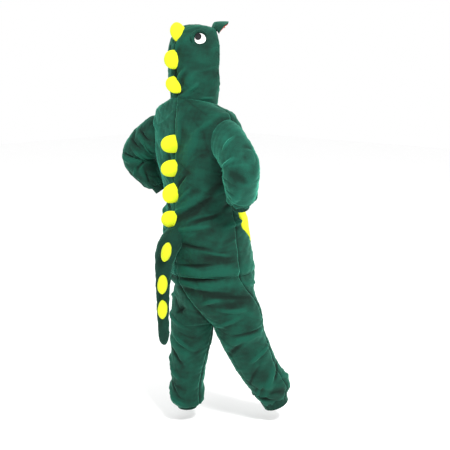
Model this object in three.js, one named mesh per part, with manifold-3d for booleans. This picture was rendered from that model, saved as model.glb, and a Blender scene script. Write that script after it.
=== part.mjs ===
// Kigurumi onesie for a child of about 134 cm, filled out as it is worn.
// Millimetres, +Z up. The wearer faces -Y and the wearer's left is +X. The origin is the middle of the
// neck at the height of the shoulders, where the wearer's body carries the garment.
// Every piece of cloth is a wall: a grid of points on a shared surface, and the same grid moved inwards.
// A surface is a function of (u, v), with u along the garment and v round it in degrees. On the body and
// the legs v is 0 at the centre front, 90 at the wearer's left side and 180 at the centre back.

import * as THREE from "three";
import { mergeVertices } from "three/addons/utils/BufferGeometryUtils.js";
import Module from "manifold-3d";

const wasm = await Module();
wasm.setup();

// ---------------------------------------------------------------- driving dimensions

const WALL = 2.6; // the plush, pile included
const SEAM = 0.3; // between two pieces that are sewn together
const TRIM = 1.8; // facing, placket and felt
const SEAT = -541; // height of the seat seam
const HEM_LEFT = -1008; // where the legs end and the ankle cuffs begin
const HEM_RIGHT = -990;
const CUFF_HEIGHT = 19;
const CROTCH = { x: -30, y: -52, z: -712, turn: 28 };
const FACE_PLANE = -60; // the face opening, in front of the middle of the head
const FACING_ROWS = 14; // rows of the hood that the facing runs along
const SHOULDER_SEAM = 88; // place of the shoulder and side seams round the body, in degrees
const BODY_DEGREE = 2.4; // mm of cloth in one degree round the body
const SLEEVE_DEGREE = 0.95;
const PLACKET_HALF = 18;
const PLACKET_END = -470;

const PLUSH = finish("dark green plush", 0x0a5a41, 0.9);
const YELLOW = finish("yellow plush", 0xe9f531, 0.85);
const RED = finish("red lining", 0xc41f2c, 0.8);
const WHITE = finish("white felt", 0xf4f4f0, 0.9);
const BLACK = finish("dark felt", 0x101314, 0.7);
const BUTTON = finish("green button", 0x0d4634, 0.4);

function finish(name, color, roughness) {
  return new THREE.MeshStandardMaterial({ name, color, roughness, metalness: 0 });
}

// ---------------------------------------------------------------- tables

function table(names, ...rows) {
  return rows.map((row) => Object.fromEntries(names.map((name, i) => [name, row[i]])));
}

// Sections of the body. x and y are the middle of the widest place, side, back and front the reach from
// it, square the fullness of the corners (2 is an ellipse), turn the twist to the wearer's right in
// degrees, and lean the slope of the section, which follows the neck at the top.
const BODY = table(
  ["z", "x", "y", "side", "back", "front", "square", "turn", "lean"],
  [2, 0, 9, 75, 72, 72, 2, 0, 0.2],
  [-6, 0, 9, 100, 74, 74, 2, 0, 0.18],
  [-16, 0, 8, 128, 76, 78, 2.1, 1, 0.15],
  [-30, 0, 8, 154, 77, 86, 2.2, 2, 0.1],
  [-60, 0, 7, 164, 80, 108, 2.4, 4, 0.05],
  [-100, 0, 4, 168, 84, 122, 2.5, 4, 0],
  [-150, 0, -6, 161, 94, 127, 2.5, 4, 0],
  [-240, 0, -28, 137, 118, 119, 2.2, 4, 0],
  [-320, 0, -44, 122, 128, 122, 2, 4, 0],
  [-400, -2, -45, 140, 142, 137, 2, 6, 0],
  [-470, -10, -50, 138, 144, 140, 2, 6, 0],
  [-541, -20, -55, 128, 142, 142, 2, 6, 0],
  [-640, -26, -54, 132, 138, 138, 2, -12, 0],
  [-712, -30, -52, 125, 130, 130, 2, -28, 0],
);

// Sections of each leg from the crotch down: middle, reach sideways and fore and aft, and the turn of
// the outward direction. The first row's middle follows from the crotch.
const LEG_COLUMNS = ["z", "x", "y", "side", "fore", "turn"];
const LEGS = {
  1: table(
    LEG_COLUMNS,
    crotchRow(1, 72, 76),
    [-760, 40, -21, 70, 72, 22],
    [-811, 46, -19, 64, 66, 16],
    [-881, 55, -18, 58, 60, 8],
    [-940, 61, -18, 54, 55, 4],
    [-985, 66, -23, 58, 58, 0],
    [-998, 69, -26, 52, 52, 0],
    [HEM_LEFT, 70, -28, 36, 36, 0],
    [HEM_LEFT - CUFF_HEIGHT, 70, -29, 33, 33, 0],
    [HEM_LEFT - 2 * CUFF_HEIGHT, 70, -30, 31, 31, 0], // past the end, for the slant of the last section
  ),
  "-1": table(
    LEG_COLUMNS,
    crotchRow(-1, 82, 84),
    [-750, -104, -103, 79, 84, 28],
    [-790, -111, -123, 74, 78, 24],
    [-864, -127, -158, 66, 69, 18],
    [-915, -139, -190, 62, 65, 12],
    [-950, -146, -210, 64, 66, 8],
    [-966, -148, -213, 59, 60, 6],
    [HEM_RIGHT, -152, -219, 46, 47, 6],
    [HEM_RIGHT - CUFF_HEIGHT, -156, -226, 43, 44, 6],
    [HEM_RIGHT - 2 * CUFF_HEIGHT, -160, -233, 41, 42, 6],
  ),
};

function crotchRow(side, reach, fore) {
  const outward = THREE.MathUtils.degToRad(CROTCH.turn);
  const x = CROTCH.x + side * reach * Math.cos(outward);
  const y = CROTCH.y + side * reach * Math.sin(outward);
  return [CROTCH.z, x, y, reach, fore, CROTCH.turn];
}

// Stations of each sleeve, from inside the shoulder to the wrist, with x measured outwards, and the
// reach of the section upwards and across.
const SLEEVE_COLUMNS = ["along", "x", "y", "z", "up", "across"];
const SLEEVES = {
  1: table(
    SLEEVE_COLUMNS,
    [0, 108, 20, -84, 45, 38],
    [0.12, 148, 26, -104, 60, 47],
    [0.3, 186, 31, -127, 58, 51],
    [0.46, 214, 36, -155, 57, 55],
    [0.58, 228, 36, -184, 56, 56],
    [0.72, 217, 23, -217, 52, 52],
    [0.86, 197, 5, -246, 46, 46],
    [0.96, 184, -6, -267, 40, 40],
    [1, 179, -10, -276, 31, 31],
  ),
  "-1": table(
    SLEEVE_COLUMNS,
    [0, 108, 20, -84, 45, 38],
    [0.12, 148, 26, -104, 62, 47],
    [0.3, 184, 31, -128, 60, 51],
    [0.46, 212, 36, -158, 57, 55],
    [0.58, 225, 36, -191, 57, 57],
    [0.72, 216, 24, -229, 53, 53],
    [0.86, 199, 6, -263, 48, 48],
    [0.96, 186, -5, -286, 42, 42],
    [1, 182, -9, -295, 32, 32],
  ),
};
const WRIST = table(["drop", "reach"], [0, 31], [CUFF_HEIGHT, 30]);

// Sections of the hood from the neck to the crown.
const HOOD = table(
  ["along", "z", "y", "side", "back", "front", "square", "turn", "lean"],
  [0, 2, 9, 75, 72, 72, 2, 0, 0.2],
  [0.13, 40, 5, 77, 78, 74, 2.1, 12, 0.12],
  [0.32, 95, 0, 82, 85, 84, 2.5, 31, 0],
  [0.51, 150, 0, 83, 85, 86, 2.5, 31, 0],
  [0.65, 190, 0, 76, 79, 80, 2.4, 31, 0],
  [0.76, 215, 0, 61, 65, 66, 2.2, 31, 0],
  [0.8, 222, 0, 55, 59, -FACE_PLANE, 2.1, 31, 0],
  [0.9, 235, 0, 32, 34, 36, 2, 31, 0],
  [1, 240, 0, 0, 0, 0, 2, 31, 0],
);
const HOOD_SEAM_LAG = 26; // the back seam follows the turn of the head by this much less, in degrees
const HOOD_ROWS = [0.004, 0.07, 0.14, 0.21, 0.28, 0.36, 0.44, 0.51, 0.58, 0.65, 0.7, 0.76, 0.8, 0.85, 0.92, 1];

// Half width of the belly in degrees.
const BELLY = table(
  ["z", "half"],
  [2, 22], [-60, 29], [-150, 44], [-240, 62], [-320, 74], [-380, 75], [-430, 50], [-475, 24], [-500, 0],
);
const BELLY_END = -500;
const BODY_ROWS = [
  2, -6, -16, -30, -46, -65, -90, -118, -146, -175, -206, -240, -274, -308, -342, -378, -412, -444, PLACKET_END,
  -487, BELLY_END, -522, -534, SEAT,
];
const LEG_GAP = 1.6; // a leg is narrower than the body, so its seams take more degrees
const CUFF_WIDE = 18;
const SEAT_ROWS = 8;
const LEG_ROWS = 13;

// Stuffed spikes: where the base sits, half length along the seam, reach, half thickness and the turn of
// the spike about the way it points.
const SPIKES = table(
  ["on", "at", "half", "reach", "thick", "lean"],
  ["hood", 0.745, 28, 38, 14, 0],
  ["hood", 0.45, 29, 40, 15, 4],
  ["hood", 0.165, 28, 40, 15, -6],
  ["body", -124, 28, 55, 16, 5],
  ["body", -200, 27, 53, 16, -4],
  ["body", -277, 31, 51, 15, 3],
  ["body", -362, 28, 50, 15, -9],
  ["tail", 0.24, 30, 44, 16, 0],
  ["tail", 0.47, 30, 44, 16, 0],
  ["tail", 0.68, 29, 42, 15, 0],
);
const TAIL_SPIKE_TURN = 45; // the tail's spikes point back and to the wearer's right

const TAIL = table(
  ["along", "x", "y", "z", "side", "deep"],
  [0, 6, 62, -404, 32, 36],
  [0.12, 4, 102, -426, 36, 38],
  [0.24, 2, 130, -462, 34, 34],
  [0.38, 1, 143, -520, 26, 27],
  [0.56, 0, 147, -590, 21, 22],
  [0.76, 0, 146, -664, 19, 20],
  [0.9, 0, 144, -722, 17, 18],
  [1, 0, 143, -757, 11, 12],
);

// Soft folds, in mm: height of the middle or place along, place round in degrees, half length, half
// width, slope of the fold's run from level in degrees, and height (negative is a trough).
const FOLD_COLUMNS = ["at", "round", "long", "wide", "slope", "high"];
const BODY_FOLDS = table(
  FOLD_COLUMNS,
  [-527, 180, 700, 26, 0, 6], // the roll above the seat seam
  [-562, 180, 700, 18, 0, 3],
  [-590, -135, 150, 24, -6, -5],
  [-628, -128, 110, 22, 8, -4],
  [-300, -150, 110, 22, 32, 5],
  [-338, -155, 120, 20, 28, -5],
  [-368, 150, 100, 22, -24, 4],
  [-262, -120, 80, 20, 40, -4],
  [-205, 150, 90, 24, -38, 4],
  [-285, 60, 100, 24, -20, -4],
  [-420, 120, 90, 24, -16, -4],
  [-480, -120, 110, 22, -8, -4],
  [-130, -160, 70, 24, 62, 4],
  [-120, 158, 70, 24, -60, 4],
  [-470, 70, 90, 24, 10, 4],
  [-640, 60, 110, 26, 14, -5],
  [-640, -50, 110, 26, -14, -5],
  [-745, -120, 100, 24, 22, 5],
  [-790, 120, 100, 22, -24, 5],
  [-850, -40, 90, 22, 18, -4],
  [-868, 60, 90, 22, 28, -4],
  [-905, -110, 110, 20, 34, 5],
  [-948, -100, 100, 18, -30, -5],
  [-925, 100, 100, 20, -26, -5],
  [-955, 110, 100, 18, -20, 5],
  [-960, 20, 80, 18, 18, 5],
  [-965, -30, 80, 18, -18, 5],
);
const SLEEVE_FOLDS = table(
  FOLD_COLUMNS,
  [0.24, 250, 55, 16, 20, 4],
  [0.34, 300, 60, 14, -24, -4],
  [0.42, 200, 60, 14, 10, 4],
  [0.5, 170, 70, 13, -8, -6],
  [0.56, 200, 70, 13, 4, 5],
  [0.62, 160, 60, 12, 12, -5],
  [0.7, 240, 50, 14, 60, 4],
  [0.76, 300, 50, 13, 70, -4],
  [0.8, 60, 50, 14, 64, 4],
);
const HOOD_FOLDS = table(
  FOLD_COLUMNS,
  [0.1, -140, 60, 12, 40, 3.5],
  [0.17, -150, 70, 12, 44, -3],
  [0.24, -120, 60, 13, 38, 3.5],
  [0.12, 140, 60, 12, -40, 3.5],
  [0.2, 130, 60, 12, -44, -3],
  [0.42, -165, 80, 14, 80, 3],
);
const HOOD_LENGTH = 290; // along the back seam from neck to crown
const SLEEVE_LENGTH = 300;
const GATHERS = { count: 10, high: 2.4 };
const SLEEVE_GATHERS = 7;

// ---------------------------------------------------------------- small tools

const vector = (x, y, z) => new THREE.Vector3(x, y, z);
const radians = THREE.MathUtils.degToRad;
const mix = THREE.MathUtils.lerp;
const ease = (x) => THREE.MathUtils.smoothstep(x, 0, 1);
const part01 = (x, from, to) => THREE.MathUtils.clamp((x - from) / (to - from), 0, 1);
const power = (x, p) => Math.sign(x) * Math.abs(x) ** p;
const range = (count) => [...Array(count + 1).keys()];
const between = (from, to, count) => range(count).map((i) => mix(from, to, i / count));
const nearest = (degrees) => ((((degrees + 180) % 360) + 360) % 360) - 180;

// The columns of a table at a value of its first column, on a smooth curve that never overshoots a row.
function sample(rows, at) {
  const [key, ...names] = Object.keys(rows[0]);
  const way = Math.sign(rows[1][key] - rows[0][key]);
  const passed = rows.filter((row) => (at - row[key]) * way >= 0).length;
  const i = THREE.MathUtils.clamp(passed - 1, 0, rows.length - 2);
  const [a, b] = [rows[i], rows[i + 1]];
  const width = b[key] - a[key];
  const x = THREE.MathUtils.clamp((at - a[key]) / width, 0, 1);
  const result = {};
  for (const name of names) {
    const slope = (p, q) => (q[name] - p[name]) / (q[key] - p[key]);
    const middle = slope(a, b);
    const start = i > 0 ? softSlope(slope(rows[i - 1], a), middle) : middle;
    const end = i + 2 < rows.length ? softSlope(middle, slope(b, rows[i + 2])) : middle;
    const rise = b[name] - a[name];
    const [m0, m1] = [start * width, end * width];
    result[name] = a[name] + m0 * x + (3 * rise - 2 * m0 - m1) * x ** 2 + (m0 + m1 - 2 * rise) * x ** 3;
  }
  return result;
}

function softSlope(p, q) {
  return p * q <= 0 ? 0 : (2 * p * q) / (p + q);
}

// A point on a section of the body or the hood.
function sectionPoint(row, degrees) {
  const angle = radians(degrees);
  const corner = 2 / row.square;
  const fore = Math.cos(angle);
  const depth = fore > 0 ? row.front : row.back;
  const x = (row.x ?? 0) + row.side * power(Math.sin(angle), corner);
  const y = row.y - depth * power(fore, corner);
  const turn = radians(-row.turn);
  const centre = row.x ?? 0;
  return vector(
    centre + (x - centre) * Math.cos(turn) - y * Math.sin(turn) + row.y * Math.sin(turn),
    row.y + (x - centre) * Math.sin(turn) + (y - row.y) * Math.cos(turn),
    row.z + row.lean * (y - BODY[0].y),
  );
}

// ---------------------------------------------------------------- surfaces

const STEP_U = 0.5;
const STEP_V = 0.25;

// The outward direction of a surface.
function normal(surface, u, v, step = STEP_U) {
  const along = surface(u + step, v).sub(surface(u - step, v));
  const round = surface(u, v + STEP_V).sub(surface(u, v - STEP_V));
  const out = round.cross(along);
  return out.length() < 1e-6 ? vector(0, 0, 1) : out.normalize();
}

// The same surface with soft folds and gathers on it.
function folded(surface, folds, length, degree, step, gathers = () => 0, fade = () => 1) {
  const place = (u, v) => {
    let height = 0;
    for (const fold of folds) {
      const p = nearest(v - fold.round) * degree;
      const q = (u - fold.at) * length;
      const slope = radians(fold.slope);
      const run = (p * Math.cos(slope) + q * Math.sin(slope)) / fold.long;
      const off = (q * Math.cos(slope) - p * Math.sin(slope)) / fold.wide;
      if (Math.abs(run) < 1 && Math.abs(off) < 1) height += fold.high * (1 - run ** 2) ** 2 * (1 - off ** 2) ** 2;
    }
    const out = height * fade(u, v) + gathers(u, v);
    return surface(u, v).addScaledVector(normal(surface, u, v, step), out);
  };
  return place;
}

// The folds of a leg die out at its inseam.
function inseamFade(z, degrees) {
  const fromSeam = Math.min(Math.abs(degrees), Math.abs(180 - Math.abs(degrees)));
  return mix(1, ease(fromSeam / 30), ease(part01(z, CROTCH.z + 60, CROTCH.z)));
}

// Upright ripples round a hem, that fade out from the gathering seam over the run-out.
function gatherAt(seam, runOut, count = GATHERS.count) {
  return (u, v) => {
    const near = 1 - part01(Math.abs(u - seam), 0, runOut);
    return GATHERS.high * near * Math.sin(radians(v * count) + Math.sin(radians(v)));
  };
}

const bareBody = (z, degrees) => {
  const row = sample(BODY, z);
  return sectionPoint({ ...row, z }, degrees);
};

// The outline of one leg: below the crotch a ring, square to the leg's run further down.
function legRing(side, z, degrees) {
  const rows = LEGS[side];
  const row = sample(rows, z);
  const below = sample(rows, z - 6);
  const run = vector(below.x - row.x, below.y - row.y, -6);
  const tilt = ease(part01(z, CROTCH.z - 20, CROTCH.z - 150));
  const down = vector(0, 0, -1).lerp(run.normalize(), tilt).normalize();
  const turn = radians(row.turn);
  const outward = vector(side * Math.cos(turn), side * Math.sin(turn), 0);
  outward.addScaledVector(down, -outward.dot(down)).normalize();
  const forward = vector(0, 0, 0).crossVectors(down, outward).multiplyScalar(side);
  const round = radians(2 * side * degrees);
  return vector(row.x, row.y, z)
    .addScaledVector(outward, -row.side * Math.cos(round))
    .addScaledVector(forward, row.fore * Math.sin(round));
}

// Each half of the body narrows into its leg between the seat seam and the crotch.
function bareLeg(side) {
  const place = (z, degrees) => {
    const other = z > CROTCH.z && (side * degrees < 0 || side * degrees > 180);
    if (other) return bareLeg(-side)(z, side * degrees < 0 ? degrees : degrees - side * 360);
    const down = part01(z, SEAT, CROTCH.z);
    const arc = 1 - Math.sqrt(1 - down ** 2);
    const middle = Math.sin(radians(degrees)) ** 2;
    const share = mix(arc, ease(down), middle);
    const ring = legRing(side, Math.min(z, CROTCH.z), degrees);
    if (z > CROTCH.z) ring.z = z;
    return bareBody(Math.max(z, CROTCH.z), degrees).lerp(ring, share);
  };
  return place;
}

function bareSleeve(side) {
  const rows = SLEEVES[side];
  const middle = (along) => {
    const row = sample(rows, along);
    return vector(row.x, row.y, row.z);
  };
  const place = (along, degrees) => {
    const row = sample(rows, along);
    const run = middle(along + 0.01).sub(middle(along - 0.01)).normalize();
    const back = vector(0, 1, 0);
    back.addScaledVector(run, -back.dot(run)).normalize();
    const up = vector(0, 0, 0).crossVectors(run, back);
    const round = radians(side * degrees);
    const point = middle(along)
      .addScaledVector(up, row.up * Math.cos(round))
      .addScaledVector(back, -row.across * Math.sin(round));
    point.x *= side;
    return point;
  };
  return place;
}

const bareHood = (along, degrees) => sectionPoint(sample(HOOD, Math.min(along, 1)), degrees);

const body = folded(bareBody, BODY_FOLDS, 1, BODY_DEGREE, STEP_U);
const legs = {
  1: folded(bareLeg(1), BODY_FOLDS, 1, BODY_DEGREE, STEP_U, gatherAt(HEM_LEFT, 26), inseamFade),
  "-1": folded(bareLeg(-1), BODY_FOLDS, 1, BODY_DEGREE, STEP_U, gatherAt(HEM_RIGHT, 26), inseamFade),
};
const sleeves = {
  1: folded(bareSleeve(1), SLEEVE_FOLDS, SLEEVE_LENGTH, SLEEVE_DEGREE, 0.004, gatherAt(1, 0.1, SLEEVE_GATHERS)),
  "-1": folded(bareSleeve(-1), SLEEVE_FOLDS, SLEEVE_LENGTH, SLEEVE_DEGREE, 0.004, gatherAt(1, 0.1, SLEEVE_GATHERS)),
};
const hood = folded(bareHood, HOOD_FOLDS, HOOD_LENGTH, 1.4, 0.004);

// ---------------------------------------------------------------- solids

// A closed geometry from a list of points and a list of triangles and quads. Faces that a pole or a
// pointed end shrinks to nothing are left out, and an inside-out one is turned round.
function solid(points, faces) {
  const geometry = new THREE.BufferGeometry().setFromPoints(points);
  const index = faces.flatMap(([a, b, c, d]) => (d === undefined ? [a, b, c] : [a, b, c, a, c, d]));
  geometry.setIndex(index);
  const merged = mergeVertices(geometry, 1e-3);
  const at = merged.index.array;
  const kept = [];
  for (let i = 0; i < at.length; i += 3) {
    const [a, b, c] = [at[i], at[i + 1], at[i + 2]];
    if (a !== b && b !== c && c !== a) kept.push(a, b, c);
  }
  if (signedVolume(merged.attributes.position, kept) < 0) kept.reverse();
  merged.setIndex(kept);
  return merged;
}

function signedVolume(position, index) {
  const corner = [vector(), vector(), vector()];
  let sum = 0;
  for (let i = 0; i < index.length; i += 3) {
    corner.forEach((point, k) => point.fromBufferAttribute(position, index[i + k]));
    sum += corner[0].dot(corner[1].cross(corner[2]));
  }
  return sum / 6;
}

// A wall of cloth over the rows of a surface. Each row is a list of [u, v] places.
function cloth(surface, rows, { outer = 0, inner = -WALL, closed = false, step = STEP_U, shift = 0 } = {}) {
  const layers = [outer, inner].map((out) =>
    rows.flatMap((row) =>
      row.map(([u, v]) => surface(u, v).addScaledVector(normal(surface, u, v, step), out).add(vector(shift, 0, 0))),
    ),
  );
  const wide = rows[0].length;
  const under = layers[0].length;
  const faces = [];
  const last = closed ? wide : wide - 1;
  for (const i of range(rows.length - 2)) {
    for (const j of range(last - 1)) {
      const [a, b] = [i * wide + j, i * wide + ((j + 1) % wide)];
      const [c, d] = [b + wide, a + wide];
      faces.push([a, b, c, d], [a + under, d + under, c + under, b + under]);
    }
  }
  for (const j of range(last - 1)) {
    const next = (j + 1) % wide;
    const low = (rows.length - 1) * wide;
    faces.push([next, j, j + under, next + under], [low + j, low + next, low + next + under, low + j + under]);
  }
  if (!closed) {
    for (const i of range(rows.length - 2)) {
      const [a, b] = [i * wide, (i + 1) * wide];
      const [c, d] = [a + wide - 1, b + wide - 1];
      faces.push([a, b, b + under, a + under], [d, c, c + under, d + under]);
    }
  }
  return solid(layers.flat(), faces);
}

// A filled form through rings of equally many points, with a fan over each end.
function filled(rings) {
  const wide = rings[0].length;
  const points = rings.flat();
  const faces = [];
  for (const i of range(rings.length - 2)) {
    for (const j of range(wide - 1)) {
      const [a, b] = [i * wide + j, i * wide + ((j + 1) % wide)];
      faces.push([a, b, b + wide, a + wide]);
    }
  }
  for (const [ring, turned] of [[0, true], [rings.length - 1, false]]) {
    const middle = rings[ring].reduce((sum, point) => sum.add(point), vector(0, 0, 0)).divideScalar(wide);
    const centre = points.push(middle) - 1;
    for (const j of range(wide - 1)) {
      const [a, b] = [ring * wide + j, ring * wide + ((j + 1) % wide)];
      faces.push(turned ? [b, a, centre] : [a, b, centre]);
    }
  }
  return solid(points, faces);
}

// The space that a surface encloses, grown by some distance, through the places that round(u) gives.
function filledSurface(surface, us, round, grown, step = STEP_U) {
  return filled(
    us.map((u) => round(u).map((v) => surface(u, v).addScaledVector(normal(surface, u, v, step), grown))),
  );
}

const evenly = (wide) => () => range(wide - 1).map((j) => (360 * j) / wide);

function toManifold(geometry) {
  return new wasm.Manifold(
    new wasm.Mesh({
      numProp: 3,
      vertProperties: geometry.attributes.position.array,
      triVerts: new Uint32Array(geometry.index.array),
    }),
  );
}

// A geometry without the space that other geometries fill, and without any offcut.
function cutAway(geometry, ...tools) {
  const left = tools.reduce((piece, tool) => piece.subtract(toManifold(tool)), toManifold(geometry));
  const pieces = left.decompose().sort((a, b) => b.volume() - a.volume());
  const mesh = pieces[0].getMesh();
  const position = new THREE.BufferAttribute(mesh.vertProperties, mesh.numProp);
  return new THREE.BufferGeometry()
    .setAttribute("position", position)
    .setIndex(new THREE.BufferAttribute(mesh.triVerts, 1));
}

const onesie = new THREE.Group();

function add(name, geometry, material) {
  const mesh = new THREE.Mesh(geometry, material);
  mesh.name = name;
  onesie.add(mesh);
  return mesh;
}

const SIDES = [
  ["left", 1],
  ["right", -1],
];

// ---------------------------------------------------------------- body panels

const BACK_WIDE = 8;
const FRONT_WIDE = 6;
const BELLY_WIDE = 5;
const bellyEdge = (z) => (z > BELLY_END ? sample(BELLY, z).half : 0);

// The places round the body at one height, which are the columns of its panels.
function roundBody(z) {
  const half = [
    ...between(180, SHOULDER_SEAM, BACK_WIDE),
    ...between(SHOULDER_SEAM, bellyEdge(z), FRONT_WIDE).slice(1),
    ...between(bellyEdge(z), 0, BELLY_WIDE).slice(1),
  ];
  const mirrored = half.slice(1, -1).map((v) => -v);
  return [...half, ...mirrored.reverse()];
}

const bodySpace = filledSurface(body, BODY_ROWS, roundBody, SEAM);
const sleeveStations = between(0, 1, 15);
const SLEEVE_WIDE = 20;
const sleeveSpace = {};
for (const [, side] of SIDES) {
  const grown = sleeveStations.slice(0, -6);
  sleeveSpace[side] = filledSurface(sleeves[side], grown, evenly(SLEEVE_WIDE), SEAM, 0.004);
}

// Half the gap of a seam that runs along the body, in degrees.
const seamDegrees = (z) => THREE.MathUtils.radToDeg(SEAM / 2 / sample(BODY, z).side);

// The places of a panel between two edges that are functions of the height.
function panelRows(heights, wide, from, to) {
  return heights.map((z) => {
    const places = between(from(z), to(z), wide).map((v) => [z, v]);
    return from(z) + to(z) < 0 ? places.reverse() : places;
  });
}

for (const [name, side] of SIDES) {
  const shift = (side * SEAM) / 2;
  const options = { shift };
  const gap = seamDegrees;
  const back = panelRows(
    BODY_ROWS,
    BACK_WIDE,
    () => side * 180,
    (z) => side * (SHOULDER_SEAM + gap(z)),
  );
  const front = panelRows(
    BODY_ROWS,
    FRONT_WIDE,
    (z) => side * (SHOULDER_SEAM - gap(z)),
    (z) => side * (z >= BELLY_END ? bellyEdge(z) + 2 * gap(z) : 0),
  );
  const belly = panelRows(
    BODY_ROWS.filter((z) => z >= BELLY_END),
    BELLY_WIDE,
    (z) => side * Math.max(0, bellyEdge(z) - 2 * gap(z)),
    () => 0,
  );
  add("back_" + name, cutAway(cloth(body, back, options), sleeveSpace[side]), PLUSH);
  add("front_" + name, cutAway(cloth(body, front, options), sleeveSpace[side]), PLUSH);
  add("belly_" + name, cloth(body, belly, options), YELLOW);
}

// ---------------------------------------------------------------- legs and ankle cuffs

function legHeights(hem) {
  const seat = range(SEAT_ROWS).map((i) => {
    const share = Math.sin((Math.PI / 2) * (i / SEAT_ROWS));
    return mix(SEAT - SEAM, CROTCH.z, share);
  });
  return [...seat, ...between(CROTCH.z, hem, LEG_ROWS).slice(1)];
}

for (const [name, side] of SIDES) {
  const shift = (side * SEAM) / 2;
  const hem = side > 0 ? HEM_LEFT : HEM_RIGHT;
  const heights = legHeights(hem);
  const gap = (z) => LEG_GAP * seamDegrees(z);
  const inseam = (z) => (z > CROTCH.z ? 0 : gap(z));
  const back = panelRows(
    heights,
    BACK_WIDE,
    (z) => side * (180 - inseam(z)),
    (z) => side * (SHOULDER_SEAM + gap(z)),
  );
  const front = panelRows(
    heights,
    FRONT_WIDE,
    (z) => side * (SHOULDER_SEAM - gap(z)),
    (z) => side * inseam(z),
  );
  add("leg_back_" + name, cloth(legs[side], back, { shift }), PLUSH);
  add("leg_front_" + name, cloth(legs[side], front, { shift }), PLUSH);

  const cuffRows = between(hem - SEAM - 1, hem - CUFF_HEIGHT, 2).map((z) =>
    range(CUFF_WIDE - 1).map((j) => [z, (side * 180 * j) / CUFF_WIDE]),
  );
  const cuff = cloth(bareLeg(side), cuffRows, { closed: true, shift });
  add("cuff_ankle_" + name, cuff, PLUSH);
}

// ---------------------------------------------------------------- sleeves and wrist cuffs

for (const [name, side] of SIDES) {
  const rows = sleeveStations.map((u) => range(SLEEVE_WIDE - 1).map((j) => [u, (360 * j) / SLEEVE_WIDE]));
  const tube = cloth(sleeves[side], rows, { closed: true, step: 0.004 });
  add("sleeve_" + name, cutAway(tube, bodySpace), PLUSH);

  const end = SLEEVES[side].at(-1);
  const before = SLEEVES[side].at(-2);
  const run = vector(end.x - before.x, end.y - before.y, end.z - before.z).normalize();
  const back = vector(0, 1, 0);
  back.addScaledVector(run, -back.dot(run)).normalize();
  const up = vector(0, 0, 0).crossVectors(run, back);
  const wrist = (drop, degrees) => {
    const reach = sample(WRIST, drop).reach;
    const point = vector(end.x, end.y, end.z)
      .addScaledVector(run, drop)
      .addScaledVector(up, reach * Math.cos(radians(side * degrees)))
      .addScaledVector(back, -reach * Math.sin(radians(side * degrees)));
    point.x *= side;
    return point;
  };
  const cuffRows = between(SEAM + 1, CUFF_HEIGHT, 2).map((u) =>
    range(CUFF_WIDE - 1).map((j) => [u, (360 * j) / CUFF_WIDE]),
  );
  add("cuff_wrist_" + name, cloth(wrist, cuffRows, { closed: true }), PLUSH);
}

// ---------------------------------------------------------------- placket and buttons

const placketRows = BODY_ROWS.filter((z) => z >= PLACKET_END).map((z) => {
  const half = THREE.MathUtils.radToDeg(PLACKET_HALF / sample(BODY, z).side);
  return between(-half, half, 4).map((v) => [z, v]);
});
add("placket", cloth(body, placketRows, { outer: SEAM + TRIM, inner: SEAM }), YELLOW);

const BUTTON_HEIGHTS = [-35, -135, -235, -335, -435];
const BUTTON_PROFILE = [
  [0, 0],
  [9.5, 0.8],
  [9.5, 2.6],
  [8, 3.4],
  [6, 2.4],
  [0, 2.2],
];
BUTTON_HEIGHTS.forEach((z, i) => {
  const profile = BUTTON_PROFILE.map(([radius, high]) => new THREE.Vector2(radius, high));
  const button = new THREE.LatheGeometry(profile, 12);
  const out = normal(body, z, 0);
  const mesh = add("button_" + (i + 1), button, BUTTON);
  mesh.quaternion.setFromUnitVectors(vector(0, 1, 0), out);
  mesh.position.copy(body(z, 0).addScaledVector(out, TRIM + 3 * SEAM));
});

// ---------------------------------------------------------------- hood

// Where a level section of the hood meets an upright plane in front of the head.
function planeAngle(along, plane) {
  const row = sample(HOOD, along);
  const share = (row.y - plane) / row.front;
  return share >= 1 ? 0 : THREE.MathUtils.radToDeg(Math.acos(share ** (row.square / 2)));
}

const HOOD_WIDE = 10;
const hoodSeam = (along) => (HOOD_SEAM_LAG * sample(HOOD, along).turn) / HOOD.at(-1).turn;

function roundHood(along) {
  const edge = planeAngle(along, FACE_PLANE);
  const left = between(180 + hoodSeam(along), edge, HOOD_WIDE);
  const right = between(-edge, hoodSeam(along) - 180, HOOD_WIDE);
  return [...left, ...right.slice(0, -1)];
}

const hoodSpace = filledSurface(hood, HOOD_ROWS, roundHood, SEAM, 0.004);
for (const [name, side] of SIDES) {
  const shift = (side * SEAM) / 2;
  const edge = (along) => planeAngle(along, FACE_PLANE);
  const shell = panelRows(
    HOOD_ROWS,
    HOOD_WIDE,
    (along) => side * 180 + hoodSeam(along),
    (along) => side * edge(along),
  );
  add("hood_" + name, cloth(hood, shell, { shift, step: 0.004 }), PLUSH);

  const facingRows = shell.slice(1, FACING_ROWS).map((row) => (side < 0 ? row.slice(0, 2) : row.slice(-2)));
  const facing = cloth(hood, facingRows, { outer: -WALL - SEAM, inner: -WALL - SEAM - TRIM, shift, step: 0.004 });
  add("facing_" + name, facing, RED);
}

// ---------------------------------------------------------------- tail and spikes

function tailPoint(along, degrees) {
  const row = sample(TAIL, along);
  const ahead = sample(TAIL, along + 0.01);
  const behind = sample(TAIL, along - 0.01);
  const run = vector(ahead.x - behind.x, ahead.y - behind.y, ahead.z - behind.z).normalize();
  const side = vector(1, 0, 0);
  side.addScaledVector(run, -side.dot(run)).normalize();
  const back = vector(0, 0, 0).crossVectors(run, side).negate();
  const round = radians(degrees);
  return vector(row.x, row.y, row.z)
    .addScaledVector(side, row.side * Math.sin(round))
    .addScaledVector(back, -row.deep * Math.cos(round));
}

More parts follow.
